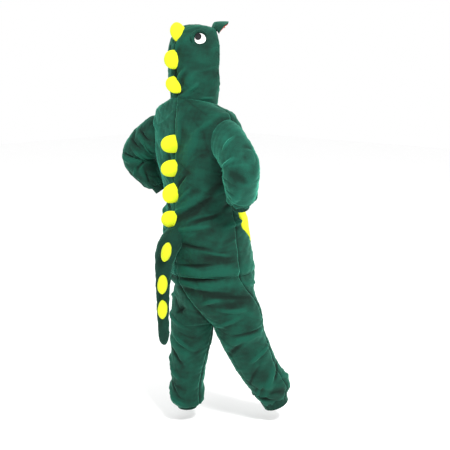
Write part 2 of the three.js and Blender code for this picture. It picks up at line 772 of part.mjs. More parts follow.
const TAIL_WIDE = 14;
const tailStations = [...between(0, 0.96, 13), 0.985, 1];
const tailRings = tailStations.map((along) => {
  const tip = part01(along, 0.955, 1);
  const shrink = Math.sqrt(1 - 0.8 * tip ** 2);
  const middle = sample(TAIL, along);
  const centre = vector(middle.x, middle.y, middle.z);
  return range(TAIL_WIDE - 1).map((j) => centre.clone().lerp(tailPoint(along, (360 * j) / TAIL_WIDE), shrink));
});
add("tail", cutAway(filled(tailRings), bodySpace), PLUSH);
const tailSpace = filled(
  tailStations.map((along) =>
    range(TAIL_WIDE - 1).map((j) => {
      const v = (360 * j) / TAIL_WIDE;
      const middle = sample(TAIL, along);
      const out = tailPoint(along, v).sub(vector(middle.x, middle.y, middle.z)).normalize();
      return tailPoint(along, v).addScaledVector(out, SEAM);
    }),
  ),
);

const SPIKE_RINGS = 6;
const SPIKE_WIDE = 10;

// A stuffed half round: rings across it from base to tip, each a pointed oval.
function spikeGeometry(spike) {
  const rings = range(SPIKE_RINGS).map((i) => {
    const rise = Math.sin(radians(mix(-26, 82, i / SPIKE_RINGS)));
    const wide = (1 - Math.abs(rise) ** 2.7) ** (1 / 2.3);
    return range(SPIKE_WIDE - 1).map((j) => {
      const round = radians((360 * j) / SPIKE_WIDE);
      const chord = Math.cos(round);
      const thick = spike.thick * wide * power(Math.sin(round), 1.15);
      return vector(thick, spike.reach * rise, spike.half * wide * chord);
    });
  });
  return filled(rings);
}

SPIKES.forEach((spike, i) => {
  const onTail = spike.on === "tail";
  const surface = { hood, body, tail: tailPoint }[spike.on];
  const step = spike.on === "body" ? STEP_U : 0.004;
  const place = { hood: 180 + hoodSeam(spike.at), body: 180, tail: TAIL_SPIKE_TURN - 180 }[spike.on];
  const ahead = surface(spike.at + step, place).sub(surface(spike.at - step, place)).normalize();
  const out = onTail ? tailOut(spike.at, place) : normal(surface, spike.at, place, step);
  const up = spike.on === "tail" ? ahead.negate() : ahead;
  const across = vector(0, 0, 0).crossVectors(out, up).normalize();
  const turned = up.clone().applyAxisAngle(out, radians(spike.lean));
  const sideways = across.clone().applyAxisAngle(out, radians(spike.lean));
  const frame = new THREE.Matrix4().makeBasis(sideways, out, turned);
  const seat = surface(spike.at, place).addScaledVector(out, -3);
  const geometry = spikeGeometry(spike).applyMatrix4(frame.setPosition(seat));
  const spaces = { hood: [hoodSpace], body: [bodySpace, tailSpace], tail: [tailSpace] }[spike.on];
  add("spike_" + String(i + 1).padStart(2, "0"), cutAway(geometry, ...spaces), YELLOW);
});

function tailOut(along, degrees) {
  const row = sample(TAIL, along);
  return tailPoint(along, degrees).sub(vector(row.x, row.y, row.z)).normalize();
}

// ---------------------------------------------------------------- eyes

const EYE = { along: 0.67, round: 94, wide: 13, tall: 18, dome: 5, sheet: 1.5 };
const PUPIL = { along: 0.012, round: 3, wide: 8, tall: 11, dome: 3 };
const HOOD_DEGREE = 1.35;
const LID_RINGS = 9;

// A domed oval on the hood, as rings of places round its middle.
function oval(side, centre, wide, tall, low, dome) {
  const at = (share, turn, out) => {
    const along = centre.along + (tall * share * Math.sin(turn)) / HOOD_LENGTH;
    const round = side * (centre.round + (wide * share * Math.cos(turn)) / HOOD_DEGREE);
    return hood(along, round).addScaledVector(normal(hood, along, round, 0.004), out);
  };
  const turns = range(13).map((j) => (Math.PI * j) / 7);
  const under = [0.4, 1].map((share) => turns.map((turn) => at(share, turn, low)));
  const over = [1, 0.85, 0.45].map((share) =>
    turns.map((turn) => at(share, turn, low + EYE.sheet + dome * Math.sqrt(1 - share ** 2))),
  );
  return filled([...under, ...over]);
}

for (const [name, side] of SIDES) {
  add("eye_" + name, oval(side, EYE, EYE.wide, EYE.tall, SEAM, EYE.dome), WHITE);
  const centre = { along: EYE.along + PUPIL.along, round: EYE.round + PUPIL.round };
  const low = SEAM + EYE.sheet + EYE.dome + SEAM;
  add("pupil_" + name, oval(side, centre, PUPIL.wide, PUPIL.tall, low, PUPIL.dome - EYE.sheet), BLACK);

  // The padded lid: a roll round the upper and back edge of the eye.
  const lidTurns = between(-0.15 * Math.PI, 0.85 * Math.PI, LID_RINGS);
  const rings = lidTurns.map((turn, i) => {
    const roll = 5.2 * Math.sin(Math.PI * mix(0.08, 0.92, i / LID_RINGS)) ** 0.5;
    const place = (reach, out) => {
      const along = EYE.along + ((EYE.tall + reach) * Math.sin(turn)) / HOOD_LENGTH;
      const round = side * (EYE.round + ((EYE.wide + reach) * Math.cos(turn)) / HOOD_DEGREE);
      return hood(along, round).addScaledVector(normal(hood, along, round, 0.004), out);
    };
    return range(7).map((j) => {
      const angle = (Math.PI * j) / 4;
      return place(6.6 + roll * Math.cos(angle), 6.4 + roll * 1.1 * Math.sin(angle));
    });
  });
  add("eyelid_" + name, filled(rings), PLUSH);
}

// ---------------------------------------------------------------- snout and teeth

// The snout is a wedge that rises to its tip. It starts behind the face opening, on the hood.
const SNOUT = { half: 52, reach: 42, thick: 25, edge: 3, rise: 24, base: 209, arch: 13, behind: -0.5 };
const SNOUT_WIDE = 10;
const SNOUT_DEEP = 6;

// A place on the snout: across from -1 to 1, out from 0 at the face opening to 1 at the edge, and the
// height above its underside.
function snoutPoint(across, out, high) {
  const x = SNOUT.half * across;
  const plan = out > 0 ? SNOUT.reach * Math.sqrt(1 - 0.98 * across ** 2) : SNOUT.reach;
  const y = FACE_PLANE - plan * out;
  const under = SNOUT.base + SNOUT.arch * (1 - across ** 2) + SNOUT.rise * out;
  const turn = radians(-HOOD[3].turn);
  return vector(x * Math.cos(turn) - y * Math.sin(turn), x * Math.sin(turn) + y * Math.cos(turn), under + high);
}

// A slab over a stretch of the snout between two heights above its underside.
function snoutSlab(low, high, outFrom, outTo, spread = 1) {
  const outs = between(outFrom, outTo, SNOUT_DEEP);
  const rings = outs.map((out) => {
    const upper = between(-spread, spread, SNOUT_WIDE).map((across) => snoutPoint(across, out, high(across, out)));
    const lower = between(spread, -spread, SNOUT_WIDE).map((across) => snoutPoint(across, out, low(across, out)));
    return [...upper, ...lower];
  });
  return filled(rings);
}

const crown = (across, out) =>
  mix(SNOUT.thick, SNOUT.edge, Math.max(0, out) ** 1.2) * Math.sqrt(1 - 0.9 * across ** 2);
const snout = snoutSlab(() => 0, crown, SNOUT.behind, 1);
add("snout", cutAway(snout, hoodSpace), PLUSH);
const LINING_SPREAD = 0.86; // the lining stops short of the corners
const lining = snoutSlab(() => -SEAM - TRIM, () => -SEAM, 0.1, 0.96, LINING_SPREAD);
add("snout_lining", cutAway(lining, hoodSpace), RED);

const TEETH = table(["across", "half", "drop"], [-0.66, 8, 10], [-0.22, 9, 12], [0.22, 9, 12], [0.66, 8, 10]);
const TOOTH_BACK = 0.86;
const TOOTH_FRONT = 0.92;
TEETH.forEach((tooth, i) => {
  const top = -4 * SEAM - TRIM;
  const rings = [0, 0.5, 0.94].map((down) => {
    const half = (tooth.half * (1 - down)) / SNOUT.half;
    const corner = (across, out) => snoutPoint(tooth.across + across, out, top - tooth.drop * down);
    return [
      corner(-half, TOOTH_FRONT),
      corner(half, TOOTH_FRONT),
      corner(half, TOOTH_BACK),
      corner(-half, TOOTH_BACK),
    ];
  });
  add("tooth_" + (i + 1), filled(rings), WHITE);
});

export default onesie;
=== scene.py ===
"""A child's kigurumi onesie of green plush, filled out as it is worn: the part's look.

Lengths are in millimetres until a mesh is made, unless a name ends in _M. Each piece of cloth is a
fine grid on the surface of its CAD solid, with its seams, folds, nap and painted fold shade, and
Solidify gives it its thickness.
"""

import math

import bpy
import numpy as np
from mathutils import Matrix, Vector


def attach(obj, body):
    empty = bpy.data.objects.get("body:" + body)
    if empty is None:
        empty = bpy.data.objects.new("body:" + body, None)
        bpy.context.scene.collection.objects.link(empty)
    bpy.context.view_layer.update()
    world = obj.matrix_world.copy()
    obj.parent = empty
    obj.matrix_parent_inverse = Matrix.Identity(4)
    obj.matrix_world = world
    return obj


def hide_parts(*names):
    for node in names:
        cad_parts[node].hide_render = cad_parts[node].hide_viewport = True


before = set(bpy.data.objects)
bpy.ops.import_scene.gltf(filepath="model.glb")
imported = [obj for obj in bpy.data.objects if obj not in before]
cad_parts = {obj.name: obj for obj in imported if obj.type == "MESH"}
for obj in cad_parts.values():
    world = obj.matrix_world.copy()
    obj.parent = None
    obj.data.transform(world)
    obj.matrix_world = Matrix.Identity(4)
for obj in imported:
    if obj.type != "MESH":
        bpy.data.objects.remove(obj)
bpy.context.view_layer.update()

# ---------------------------------------------------------------- sizes

MM = 0.001
WALL = 2.6
TRIM = 1.8
SEAM = 0.3
SEAT = -541
HEMS = {1: -1008, -1: -990}
CUFF_HEIGHT = 19
TUCK = 5  # a cuff begins this far inside the leg or sleeve
CROTCH = (-30, -52, -712, 28)  # x, y, z, turn
FACE_PLANE = -60
SHOULDER_SEAM = 88
BODY_DEGREE = 2.4  # mm of cloth in one degree
SLEEVE_DEGREE = 0.95
HOOD_DEGREE = 1.4
HOOD_LENGTH = 290
SLEEVE_LENGTH = 300
HOOD_LAG = 26
BELLY_END = -500
PLACKET_HALF = 18
PLACKET_END = -470
PLACKET_LIFT = 1.2
BODY_Y = 9
HOOD_TURN = 31  # how far the head is turned, in degrees
WRIST_REACH = (31, 30)
WRIST_DEGREE = 0.55
LEG_GAP = 1.6  # a leg is narrower than the body, so its seams take more degrees
ARMHOLE_OVERLAP = 4  # how far the body's cloth reaches into the sleeve
SLEEVE_OVERLAP = 6  # how far the sleeve's cloth reaches into the body


def table(*rows):
    return np.array(rows, float)


# z, x, y, side, back, front, square, turn, lean
BODY = table(
    (2, 0, 9, 75, 72, 72, 2, 0, 0.2),
    (-6, 0, 9, 100, 74, 74, 2, 0, 0.18),
    (-16, 0, 8, 128, 76, 78, 2.1, 1, 0.15),
    (-30, 0, 8, 154, 77, 86, 2.2, 2, 0.1),
    (-60, 0, 7, 164, 80, 108, 2.4, 4, 0.05),
    (-100, 0, 4, 168, 84, 122, 2.5, 4, 0),
    (-150, 0, -6, 161, 94, 127, 2.5, 4, 0),
    (-240, 0, -28, 137, 118, 119, 2.2, 4, 0),
    (-320, 0, -44, 122, 128, 122, 2, 4, 0),
    (-400, -2, -45, 140, 142, 137, 2, 6, 0),
    (-470, -10, -50, 138, 144, 140, 2, 6, 0),
    (-541, -20, -55, 128, 142, 142, 2, 6, 0),
    (-640, -26, -54, 132, 138, 138, 2, -12, 0),
    (-712, -30, -52, 125, 130, 130, 2, -28, 0),
)


def crotch_row(side, reach, fore):
    outward = math.radians(CROTCH[3])
    x = CROTCH[0] + side * reach * math.cos(outward)
    return (CROTCH[2], x, CROTCH[1] + side * reach * math.sin(outward), reach, fore, CROTCH[3])


# z, x, y, side, fore, turn
LEGS = {
    1: table(
        crotch_row(1, 72, 76),
        (-760, 40, -21, 70, 72, 22),
        (-811, 46, -19, 64, 66, 16),
        (-881, 55, -18, 58, 60, 8),
        (-940, 61, -18, 54, 55, 4),
        (-985, 66, -23, 58, 58, 0),
        (-998, 69, -26, 52, 52, 0),
        (-1008, 70, -28, 36, 36, 0),
        (-1027, 70, -29, 33, 33, 0),
        (-1046, 70, -30, 31, 31, 0),
    ),
    -1: table(
        crotch_row(-1, 82, 84),
        (-750, -104, -103, 79, 84, 28),
        (-790, -111, -123, 74, 78, 24),
        (-864, -127, -158, 66, 69, 18),
        (-915, -139, -190, 62, 65, 12),
        (-950, -146, -210, 64, 66, 8),
        (-966, -148, -213, 59, 60, 6),
        (-990, -152, -219, 46, 47, 6),
        (-1009, -156, -226, 43, 44, 6),
        (-1028, -160, -233, 41, 42, 6),
    ),
}
# along, x outwards, y, z, reach up, reach across
SLEEVES = {
    1: table(
        (0, 108, 20, -84, 45, 38),
        (0.12, 148, 26, -104, 60, 47),
        (0.3, 186, 31, -127, 58, 51),
        (0.46, 214, 36, -155, 57, 55),
        (0.58, 228, 36, -184, 56, 56),
        (0.72, 217, 23, -217, 52, 52),
        (0.86, 197, 5, -246, 46, 46),
        (0.96, 184, -6, -267, 40, 40),
        (1, 179, -10, -276, 31, 31),
    ),
    -1: table(
        (0, 108, 20, -84, 45, 38),
        (0.12, 148, 26, -104, 62, 47),
        (0.3, 184, 31, -128, 60, 51),
        (0.46, 212, 36, -158, 57, 55),
        (0.58, 225, 36, -191, 57, 57),
        (0.72, 216, 24, -229, 53, 53),
        (0.86, 199, 6, -263, 48, 48),
        (0.96, 186, -5, -286, 42, 42),
        (1, 182, -9, -295, 32, 32),
    ),
}
# along, z, y, side, back, front, square, turn, lean
HOOD = table(
    (0, 2, 9, 75, 72, 72, 2, 0, 0.2),
    (0.13, 40, 5, 77, 78, 74, 2.1, 12, 0.12),
    (0.32, 95, 0, 82, 85, 84, 2.5, 31, 0),
    (0.51, 150, 0, 83, 85, 86, 2.5, 31, 0),
    (0.65, 190, 0, 76, 79, 80, 2.4, 31, 0),
    (0.76, 215, 0, 61, 65, 66, 2.2, 31, 0),
    (0.8, 222, 0, 55, 59, -FACE_PLANE, 2.1, 31, 0),
    (0.9, 235, 0, 32, 34, 36, 2, 31, 0),
    (1, 240, 0, 0, 0, 0, 2, 31, 0),
)
# z, half width in degrees
BELLY = table(
    (2, 22),
    (-60, 29),
    (-150, 44),
    (-240, 62),
    (-320, 74),
    (-380, 75),
    (-430, 50),
    (-475, 24),
    (-500, 0),
)
# along, x, y, z, side, deep
TAIL = table(
    (0, 6, 62, -404, 32, 36),
    (0.12, 4, 102, -426, 36, 38),
    (0.24, 2, 130, -462, 34, 34),
    (0.38, 1, 143, -520, 26, 27),
    (0.56, 0, 147, -590, 21, 22),
    (0.76, 0, 146, -664, 19, 20),
    (0.9, 0, 144, -722, 17, 18),
    (1, 0, 143, -757, 11, 12),
)
# surface, at, half length, reach, half thickness, lean
SPIKES = (
    ("hood", 0.745, 28, 38, 14, 0),
    ("hood", 0.45, 29, 40, 15, 4),
    ("hood", 0.165, 28, 40, 15, -6),
    ("body", -124, 28, 55, 16, 5),
    ("body", -200, 27, 53, 16, -4),
    ("body", -277, 31, 51, 15, 3),
    ("body", -362, 28, 50, 15, -9),
    ("tail", 0.24, 30, 44, 16, 0),
    ("tail", 0.47, 30, 44, 16, 0),
    ("tail", 0.68, 29, 42, 15, 0),
)
TAIL_SPIKE_TURN = 45

# Folds: at, round in degrees, half length, half width, slope in degrees, height. The solids have
# the FOLDS too. The CREASES are for the look only.
BODY_FOLDS = (
    (-527, 180, 700, 26, 0, 6),
    (-562, 180, 700, 18, 0, 3),
    (-590, -135, 150, 24, -6, -5),
    (-628, -128, 110, 22, 8, -4),
    (-300, -150, 110, 22, 32, 5),
    (-338, -155, 120, 20, 28, -5),
    (-368, 150, 100, 22, -24, 4),
    (-262, -120, 80, 20, 40, -4),
    (-205, 150, 90, 24, -38, 4),
    (-285, 60, 100, 24, -20, -4),
    (-420, 120, 90, 24, -16, -4),
    (-480, -120, 110, 22, -8, -4),
    (-130, -160, 70, 24, 62, 4),
    (-120, 158, 70, 24, -60, 4),
    (-470, 70, 90, 24, 10, 4),
    (-640, 60, 110, 26, 14, -5),
    (-640, -50, 110, 26, -14, -5),
    (-745, -120, 100, 24, 22, 5),
    (-790, 120, 100, 22, -24, 5),
    (-850, -40, 90, 22, 18, -4),
    (-868, 60, 90, 22, 28, -4),
    (-905, -110, 110, 20, 34, 5),
    (-948, -100, 100, 18, -30, -5),
    (-925, 100, 100, 20, -26, -5),
    (-955, 110, 100, 18, -20, 5),
    (-960, 20, 80, 18, 18, 5),
    (-965, -30, 80, 18, -18, 5),
)
BODY_CREASES = (
    (-286, -165, 60, 9, 40, 3),
    (-312, -140, 70, 9, 30, -3),
    (-330, -170, 60, 8, 22, 2.5),
    (-352, -128, 70, 9, 18, -3),
    (-385, -150, 80, 10, 10, 2.5),
    (-240, -168, 50, 8, 56, -2.5),
    (-222, 165, 50, 8, -52, 2.5),
    (-318, 160, 60, 9, -34, -3),
    (-344, 140, 60, 9, -20, 2.5),
    (-402, 160, 70, 9, -8, -2.5),
    (-440, -150, 80, 9, -6, -2.5),
    (-462, -120, 60, 8, -14, 2.5),
    (-500, -150, 90, 7, 2, -2.5),
    (-512, 150, 80, 7, -2, -2.5),
    (-545, -150, 120, 8, 3, -4),
    (-548, 140, 120, 8, -3, -4),
    (-575, -140, 90, 9, -10, 3),
    (-604, -120, 80, 8, -4, -3.5),
    (-618, -150, 50, 8, 14, 2.5),
    (-646, -132, 60, 9, -2, 3),
    (-585, 140, 80, 9, 10, -3),
    (-622, 120, 90, 9, 16, 3),
    (-660, 140, 60, 9, 24, -3),
    (-690, -140, 70, 10, 26, 3),
    (-700, 110, 70, 10, -20, 3),
    (-722, -110, 80, 9, 14, -3),
    (-770, -135, 60, 9, 30, -3),
    (-772, 132, 60, 9, -30, 3),
    (-805, -105, 70, 9, 20, 3),
    (-830, 130, 60, 9, -34, -3),
    (-846, 100, 60, 9, -22, 3),
    (-862, -128, 50, 8, 36, -3),
    (-884, 124, 60, 9, -32, 3),
    (-890, -90, 60, 9, 24, -3.5),
    (-898, 95, 70, 9, -26, -3.5),
    (-920, -135, 60, 8, 38, 3),
    (-934, -70, 70, 8, -22, 3),
    (-942, 130, 60, 8, -30, -3),
    (-948, 70, 60, 8, -18, 3),
    (-960, -130, 60, 8, -20, -3),
    (-972, 100, 60, 8, 14, -3),
    (-978, 140, 50, 7, -12, 3),
    (-200, 70, 70, 10, -40, 3),
    (-250, 95, 60, 10, -30, -3),
    (-350, 90, 70, 10, -14, 3),
    (-230, -70, 70, 10, 40, 3),
    (-300, -85, 70, 10, 26, -3),
    (-370, -80, 80, 10, 14, 3),
    (-560, 60, 80, 10, 8, 3),
    (-580, -60, 80, 10, -8, 3),
    (-740, 40, 60, 10, 20, -3),
    (-760, -40, 60, 10, -20, -3),
    (-98, -176, 60, 9, 84, 2.5),
    (-150, 174, 60, 8, -82, -2.5),
    (-70, -140, 60, 10, 30, 2.5),
    (-72, 140, 60, 10, -30, 2.5),
    (-185, -100, 50, 9, 60, -3),
    (-190, 105, 50, 9, -60, -3),
)
SLEEVE_FOLDS = (
    (0.24, 250, 55, 16, 20, 4),
    (0.34, 300, 60, 14, -24, -4),
    (0.42, 200, 60, 14, 10, 4),
    (0.5, 170, 70, 13, -8, -6),
    (0.56, 200, 70, 13, 4, 5),
    (0.62, 160, 60, 12, 12, -5),
    (0.7, 240, 50, 14, 60, 4),
    (0.76, 300, 50, 13, 70, -4),
    (0.8, 60, 50, 14, 64, 4),
)
SLEEVE_CREASES = (
    (0.2, 280, 40, 7, 30, -2.5),
    (0.28, 230, 40, 7, -18, 2.5),
    (0.38, 270, 40, 7, 14, -2.5),
    (0.46, 230, 45, 7, -14, 3),
    (0.53, 250, 50, 7, 8, -4),
    (0.59, 270, 50, 6, -6, 3.5),
    (0.65, 220, 45, 7, 16, -3),
    (0.72, 280, 40, 7, 40, 2.5),
    (0.83, 250, 35, 6, 66, -2.5),
    (0.88, 320, 30, 6, 80, 2.5),
    (0.9, 200, 30, 6, 84, 2.5),
    (0.5, 90, 40, 8, 10, 3),
    (0.6, 60, 40, 8, -10, -3),
    (0.35, 60, 40, 8, 20, 2.5),
)
HOOD_FOLDS = (
    (0.1, -140, 60, 12, 40, 3.5),
    (0.17, -150, 70, 12, 44, -3),
    (0.24, -120, 60, 13, 38, 3.5),
    (0.12, 140, 60, 12, -40, 3.5),
    (0.2, 130, 60, 12, -44, -3),
    (0.42, -165, 80, 14, 80, 3),
)
HOOD_CREASES = (
    (0.07, -160, 40, 7, 30, -2),
    (0.14, -125, 45, 7, 36, 2.5),
    (0.21, -165, 40, 7, 50, -2),
    (0.3, -135, 45, 8, 46, 2),
    (0.36, -150, 50, 7, 74, -2),
    (0.08, 150, 40, 7, -36, -2),
    (0.16, 160, 40, 7, -46, 2),
    (0.5, -178, 50, 7, 86, -2),
    (0.55, -150, 50, 8, 80, 1.6),
    (0.04, 100, 40, 6, -14, 2),
    (0.04, -100, 40, 6, 14, 2),
)
GATHER_HIGH = 2.4
CREASE_WIDTH = 12  # a fold narrower than this is a crease
CREASE_GAIN = 2.3
CREASE_WANDER = 0.16  # of its half width
CREASE_UNEVEN = 0.3  # of its height
CRUMPLE = {"broad": 1.1, "middle": 0.8, "small": 0.45, "ridge": 1.8}
FOLD_SHADE = 0.3  # how far a ridge or trough moves the colour: painted highlight on ridges, painted shade in troughs
FOLD_SHADE_RELIEF = 4  # the relief at which that is nearly reached

SEAM_DEEP = 2.4
SEAM_WIDE = 5.5
PUCKER_HIGH = 1.1
PUCKER_SPREAD = 2.6  # in seam widths
PUCKER_PITCH = 4.1
PUCKER_DRIFT = (1.4, 17.0)  # how far the puckers' pitch drifts, and over what length
STITCH_DEEP = 1.2
STITCH_WIDE = 1.6
NECK_FADE = 14  # the cloth is smooth next to the neck seam, so that both sides meet on one ring

# ---------------------------------------------------------------- small tools


def sample(rows, at):
    """A table's columns at values of its first one, on a smooth curve that never overshoots."""
    key = rows[:, 0]
    at = np.asarray(at, float)
    if key[1] < key[0]:
        key, at = -key, -at
    values = rows[:, 1:]
    width = np.diff(key)[:, None]
    slope = np.diff(values, axis=0) / width
    bend = slope[:-1] * slope[1:]
    total = slope[:-1] + slope[1:]
    soft = np.where(bend <= 0, 0, 2 * bend / np.where(bend <= 0, 1, total))
    ends = np.concatenate([slope[:1], soft, slope[-1:]])
    i = np.clip(np.searchsorted(key, at, "right") - 1, 0, len(key) - 2)
    w = width[i]
    x = np.clip((at - key[i]) / w[..., 0], 0, 1)[..., None]
    rise = values[i + 1] - values[i]
    m0, m1 = ends[i] * w, ends[i + 1] * w
    return values[i] + m0 * x + (3 * rise - 2 * m0 - m1) * x**2 + (m0 + m1 - 2 * rise) * x**3


def mix(a, b, t):
    return a + (b - a) * t


def part01(x, a, b):
    return np.clip((x - a) / (b - a), 0, 1)


def ease(x):
    x = np.clip(x, 0, 1)
    return x * x * (3 - 2 * x)


def power(x, p):
    return np.sign(x) * np.abs(x) ** p


def unit(v):
    return v / np.maximum(np.linalg.norm(v, axis=-1, keepdims=True), 1e-9)


def dot(a, b):
    return (a * b).sum(-1, keepdims=True)


def vec(x, y, z):
    x, y, z = np.broadcast_arrays(x, y, z)
    return np.stack([x, y, z], -1).astype(float)


def section(x0, y0, z0, side, back, front, square, turn, lean, degrees):
    """Points on a level ring: a rounded box, turned and leaning, with its own front and back."""
    angle = np.radians(degrees)
    fore = np.cos(angle)
    depth = np.where(fore > 0, front, back)
    x = side * power(np.sin(angle), 2 / square)
    y = -depth * power(fore, 2 / square)
    turn = np.radians(-turn)
    px = x0 + x * np.cos(turn) - (y + y0) * np.sin(turn) + y0 * np.sin(turn)
    py = y0 + x * np.sin(turn) + y * np.cos(turn)
    return vec(px, py, z0 + lean * (y + y0 - BODY_Y))


# ---------------------------------------------------------------- surfaces


def bare_body(z, v):
    z, v = np.broadcast_arrays(np.asarray(z, float), np.asarray(v, float))
    r = sample(BODY, z)
    return section(r[..., 0], r[..., 1], z, *[r[..., k] for k in range(2, 8)], v)


def leg_ring(side, z, v):
    rows = LEGS[side]
    r = sample(rows, z)
    below = sample(rows, z - 6)
    run = unit(vec(below[..., 0] - r[..., 0], below[..., 1] - r[..., 1], -6))
    tilt = ease(part01(z, CROTCH[2] - 20, CROTCH[2] - 150))[..., None]
    down = unit(mix(np.array([0, 0, -1.0]), run, tilt))
    turn = np.radians(r[..., 4])
    outward = vec(side * np.cos(turn), side * np.sin(turn), 0)
    outward = unit(outward - down * dot(outward, down))
    forward = np.cross(down, outward) * side
    angle = np.radians(2 * side * v)
    sideways = outward * (-r[..., 2] * np.cos(angle))[..., None]
    fore = forward * (r[..., 3] * np.sin(angle))[..., None]
    return vec(r[..., 0], r[..., 1], z) + sideways + fore


def own_leg(side, z, v):
    """Between the seat and the crotch the body's ring becomes the leg's."""
    down = part01(z, SEAT, CROTCH[2])
    arc = 1 - np.sqrt(1 - down**2)
    middle = np.sin(np.radians(v)) ** 2
    share = mix(arc, ease(down), middle)[..., None]
    ring = leg_ring(side, np.minimum(z, CROTCH[2]), v)
    ring[..., 2] = np.where(z > CROTCH[2], z, ring[..., 2])
    return mix(bare_body(np.maximum(z, CROTCH[2]), v), ring, share)


def bare_leg(side):
    def place(z, v):
        z, v = np.broadcast_arrays(np.asarray(z, float), np.asarray(v, float))
        over = (z > CROTCH[2]) & ((side * v < 0) | (side * v > 180))
        other = own_leg(-side, z, np.where(side * v < 0, v, v - side * 360))
        return np.where(over[..., None], other, own_leg(side, z, v))

    return place


def bare_sleeve(side):
    rows = SLEEVES[side]

    def place(u, v):
        u, v = np.broadcast_arrays(np.asarray(u, float), np.asarray(v, float))
        r = sample(rows, u)
        run = unit(sample(rows, u + 0.01)[..., :3] - sample(rows, u - 0.01)[..., :3])
        back = np.array([0, 1.0, 0]) - run * run[..., 1:2]
        back = unit(back)
        up = np.cross(run, back)
        angle = np.radians(side * v)
        p = r[..., :3] + up * (r[..., 3] * np.cos(angle))[..., None]
        p = p - back * (r[..., 4] * np.sin(angle))[..., None]
        p[..., 0] *= side
        return p

    return place


def bare_hood(u, v):
    u, v = np.broadcast_arrays(np.asarray(u, float), np.asarray(v, float))
    r = sample(HOOD, np.minimum(u, 1))
    return section(0, r[..., 1], r[..., 0], *[r[..., k] for k in range(2, 8)], v)


def normal(surface, u, v, step):
    along = surface(u + step, v) - surface(u - step, v)
    round_it = surface(u, v + 0.25) - surface(u, v - 0.25)
    out = np.cross(round_it, along)
    size = np.linalg.norm(out, axis=-1, keepdims=True)
    return np.where(size < 1e-6, [0, 0, 1.0], out / np.maximum(size, 1e-9))


def fold_height(folds, u, v, length, degree):
    height = np.zeros(np.broadcast(u, v).shape)
    for at, round_at, long, wide, slope, high in folds:
        p = (((v - round_at + 180) % 360) - 180) * degree
        q = (u - at) * length
        s = math.radians(slope)
        run = (p * math.cos(s) + q * math.sin(s)) / long
        off = (q * math.cos(s) - p * math.sin(s)) / wide
        gain, uneven = 1, 1
        if wide < CREASE_WIDTH:
            # A crease wanders a little and is deeper at one end, so that no two look alike.
            off = off + CREASE_WANDER * np.sin(3.1 * run + at)
            uneven = 1 + CREASE_UNEVEN * np.sin(2.3 * run + round_at)
            gain = CREASE_GAIN
        inside = (abs(run) < 1) & (abs(off) < 1)
        bump = gain * high * uneven * (1 - run**2) ** 2 * (1 - off**2) ** 2
        height += np.where(inside, bump, 0)
    return height


def gather(seam, run_out, count):
    """The gathers at a cuff, as the solid has them."""

    def height(u, v):
        near = 1 - part01(abs(u - seam), 0, run_out)
        return GATHER_HIGH * near * np.sin(np.radians(v * count) + np.sin(np.radians(v)))

    return height


def fine_gather(seam, run_out, count, high):
    """Smaller gathers between them, uneven in pitch and height."""

    def height(u, v):
        near = (1 - part01(abs(u - seam), 0, run_out)) ** 1.5
        phase = np.radians(v * count) + 1.7 * np.sin(np.radians(3 * v))
        phase = phase + 0.8 * np.sin(np.radians(7 * v))
        return high * near * np.sin(phase) * (0.7 + 0.3 * np.sin(np.radians(5 * v + 40)))

    return height


def inseam_fade(z, v):
    """Below the crotch the folds die out towards the seams between the legs' panels."""
    from_seam = np.minimum(abs(v), abs(180 - abs(v)))
    return mix(1, ease(from_seam / 30), ease(part01(z, CROTCH[2] + 60, CROTCH[2])))


class Surface:
    """A bare surface, its folds, and what else stands on it."""

    def __init__(self, bare, folds, creases, length, degree, step, extra=(), fade=None):
        self.bare, self.folds, self.creases = bare, folds, creases
        self.length, self.degree, self.step = length, degree, step
        self.extra, self.fade = extra, fade

    def normal(self, u, v):
        return normal(self.bare, u, v, self.step)

    def height(self, u, v, creased=True):
        folds = self.folds + (self.creases if creased else ())
        height = fold_height(folds, u, v, self.length, self.degree)
        if self.fade:
            height = height * self.fade(u, v)
        for more in self.extra:
            height = height + more(u, v)
        return height

    def __call__(self, u, v, out=0.0, creased=True):
        u, v = np.broadcast_arrays(np.asarray(u, float), np.asarray(v, float))
        lift = self.height(u, v, creased) + out
        return self.bare(u, v) + self.normal(u, v) * lift[..., None]


BODY_SURFACE = Surface(bare_body, BODY_FOLDS, BODY_CREASES, 1, BODY_DEGREE, 0.5)
LEG_SURFACE = {
    s: Surface(
        bare_leg(s),
        BODY_FOLDS,
        BODY_CREASES,
        1,
        BODY_DEGREE,
        0.5,
        (gather(HEMS[s], 26, 10), fine_gather(HEMS[s], 34, 23, 1.8)),
        inseam_fade,
    )
    for s in (1, -1)
}
SLEEVE_SURFACE = {
    s: Surface(
        bare_sleeve(s),
        SLEEVE_FOLDS,
        SLEEVE_CREASES,
        SLEEVE_LENGTH,
        SLEEVE_DEGREE,
        0.004,
        (gather(1, 0.1, 7), fine_gather(1, 0.14, 19, 1.6)),
    )
    for s in (1, -1)
}
HOOD_SURFACE = Surface(bare_hood, HOOD_FOLDS, HOOD_CREASES, HOOD_LENGTH, HOOD_DEGREE, 0.004)

# ---------------------------------------------------------------- inside tests


HOOD_BY_HEIGHT = np.column_stack([HOOD[:, 1], 0 * HOOD[:, 0], HOOD[:, 2:]])


